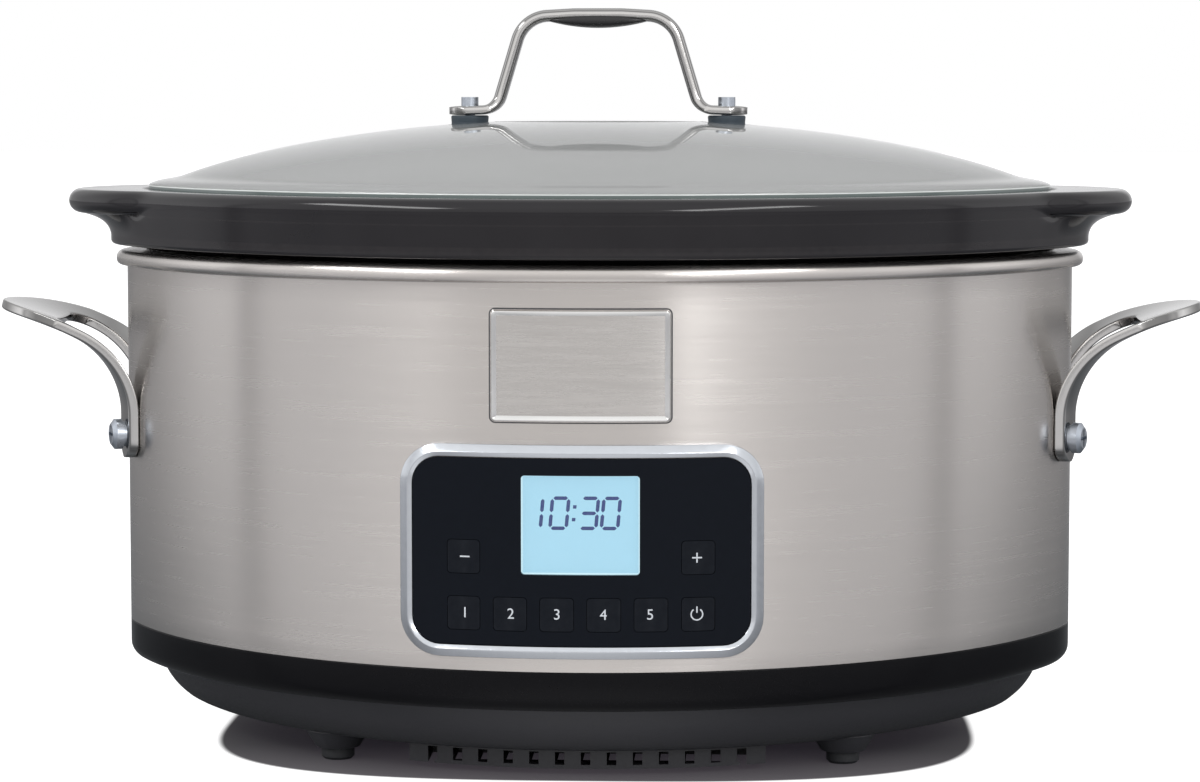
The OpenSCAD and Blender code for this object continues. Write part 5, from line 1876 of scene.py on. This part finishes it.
@dataclass
class Floor:
    """A wide pale floor with a painted shadow, a soft dark patch, where the base covers it.

    The camera sees the floor lit up to white, with the painted shadow in it. Other rays see
    the studio's tones painted on it, with a painted pool of light just in front of the object
    and painted shade beside and behind it. Lengths are in metres, and a pair of them is
    where a change starts and ends. A shift brings the point that something is measured
    from to the origin.
    """

    room: Room
    half: float = 12.0
    # painted shadow: the dark patch under the base reaches this far along x and y, and fades over fade
    cover: Triple = (0.141, 0.110, 1.0)
    fade: Pair = (0.99, 1.06)
    # painted shadow: its colours, lighter at its front and darker further back
    patch_deepens: Pair = (-0.105, -0.045)
    patch_front: Colour = (0.052, 0.046, 0.054)
    patch_back: Colour = (0.014, 0.012, 0.016)
    lit: Pair = (0.90, 0.93)
    # painted light: a brighter pool just in front of the object, which only reflections see
    bounce_shift: Triple = (0.0, 0.24, 0.0)
    bounce_far: Pair = (0.15, 0.05)
    bounce: float = 0.42
    # painted light and shade: the studio's tones laid on the floor for reflections
    tone_shift: Triple = (0.0, 0.115, 0.0)
    tone_share: Colour = (0.51, 0.51, 0.52)
    # painted shade: darker close beside and behind the object, for reflections
    behind: Pair = (-0.34, 0.06)
    near: Pair = (1.3, 0.35)
    dark: Colour = (0.14, 0.15, 0.16)
    # the colour the camera sees: lower inside the painted shadow, higher outside it
    pale: Pair = (0.10, 0.42)

    def opening(self, wiring: Wiring, place: Socket) -> Socket:
        """How open the floor is, outside the painted shadow: 0 where |x / a|^3 + |y / b|^3 is under one,
        else 1.

        Args:
            wiring: the floor's wiring.
            place: the point on the floor.

        Returns:
            The openness, with a short soft step.
        """
        share = wiring.vectors("ABSOLUTE", wiring.vectors("DIVIDE", place, self.cover))
        square = wiring.vectors("MULTIPLY", share, share)
        return wiring.ranged(wiring.vectors("DOT_PRODUCT", square, share), self.fade, soft=True)

    def around(self, wiring: Wiring, place: Socket, y: Socket) -> Socket:
        """The floor as the object's reflections see it.

        Args:
            wiring: the floor's wiring.
            place: the point on the floor.
            y: the point's y.

        Returns:
            The studio's tones painted by direction, with painted shade close beside and behind the object.
        """
        far = wiring.vectors("LENGTH", place)
        close = wiring.ranged(far, self.near, soft=True)
        # painted shade beside and behind the object
        dark = wiring.maths("MULTIPLY", wiring.ranged(y, self.behind, soft=True), close)
        way = wiring.vectors("NORMALIZE", wiring.vectors("ADD", place, self.tone_shift))
        pale = wiring.mix(1.0, self.room.tones(wiring, way), self.tone_share, "MULTIPLY")
        return wiring.mix(dark, pale, self.dark)

    def build(self) -> None:
        """Makes the floor and its material."""
        mesh = bpy.data.meshes.new("floor")
        corners = [(sx * self.half, sy * self.half, 0.0) for sx, sy in ((-1, -1), (1, -1), (1, 1), (-1, 1))]
        mesh.from_pydata(corners, [], [(0, 1, 2, 3)])
        thing = bpy.data.objects.new("floor", mesh)
        bpy.context.scene.collection.objects.link(thing)
        finish = Finish("pale_floor", (0.95, 0.95, 0.95), 0.7)
        surface = Surface(finish, Specular_IOR_Level=0.1, Emission_Strength=1.0)
        seen = surface.add("ShaderNodeLightPath").outputs["Is Camera Ray"]
        place = surface.place()
        y = surface.split(place)[1]
        bare = self.opening(surface, place)
        # painted shadow: the dark patch, darker towards the back, that the camera sees under the base
        patch = surface.mix(surface.ranged(y, self.patch_deepens), self.patch_front, self.patch_back)
        mottle = surface.add("ShaderNodeTexNoise", {"Scale": 2.0, "Detail": 2.0}).outputs[0]
        lit = surface.mix(bare, patch, surface.ranged(mottle, target=self.lit))
        # painted light: the brighter pool in front of the object, for reflections
        away = surface.vectors("LENGTH", surface.vectors("ADD", place, self.bounce_shift))
        bounce = surface.ranged(away, self.bounce_far, (0.0, self.bounce), soft=True)
        surface.link("Emission Color", surface.mix(seen, bounce, lit))
        around, pale = self.around(surface, place, y), surface.ranged(bare, target=self.pale)
        surface.link("Base Color", surface.mix(seen, around, pale))
        mesh.materials.append(surface.material)


@dataclass
class Camera:
    """The camera, on a circle round the object.

    Places and the lens are in millimetres, angles in degrees, and what lies between the
    two clip distances, in metres, is seen.
    """

    distance: float = 1358.0
    eye_z: float = 244.0
    tilt: float = 4.85
    swing: float = 2.5
    aside: float = 0.7
    lens: float = 107.4
    sensor: float = 36.0
    clip: Pair = (0.05, 60.0)

    def build(self) -> None:
        """Puts the camera in the scene and makes it the scene's own."""
        data = bpy.data.cameras.new("camera")
        data.lens, data.sensor_width = self.lens, self.sensor
        data.clip_start, data.clip_end = self.clip
        thing = bpy.data.objects.new("camera", data)
        swing = math.radians(self.swing)
        right = np.array([math.cos(swing), math.sin(swing)])
        ahead = np.array([-math.sin(swing), math.cos(swing)])
        place = (self.aside * right - self.distance * ahead) * MM
        thing.location = (place[0], place[1], self.eye_z * MM)
        thing.rotation_euler = (math.radians(90.0 - self.tilt), 0.0, swing)
        bpy.context.scene.collection.objects.link(thing)
        bpy.context.scene.camera = thing


@dataclass
class Studio:
    """The camera, the floor, the sky and the lamps."""

    camera: Camera = field(default_factory=Camera)
    room: Room = field(default_factory=Room)
    lamps: tuple[Lamp, ...] = (
        Lamp("left_strip", (-1.03, -1.50, 1.02), (-1.40, -0.31, 1.48), 0.27),
        Lamp("right_strip", (0.64, -1.88, 0.62), (1.21, -0.88, 1.52), 0.25),
    )

    def build(self) -> None:
        """Sets the stage."""
        for part in (self.camera, Floor(self.room), self.room, *self.lamps):
            part.build()
        bpy.context.scene.view_settings.view_transform = "Standard"


def main() -> None:
    """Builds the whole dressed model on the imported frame."""
    logging.basicConfig(level=logging.INFO, format="%(name)s %(message)s")
    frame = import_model()
    Studio().build()
    shop = Workshop(frame["nodes"])
    for part in (HeatedBase(), Crock(), Lid(), SideHandle(), ControlPanel(), NamePlate(), InnerParts()):
        part.build(shop)
        LOG.info("%s done", type(part).__name__)


if __name__ == "__main__":
    main()
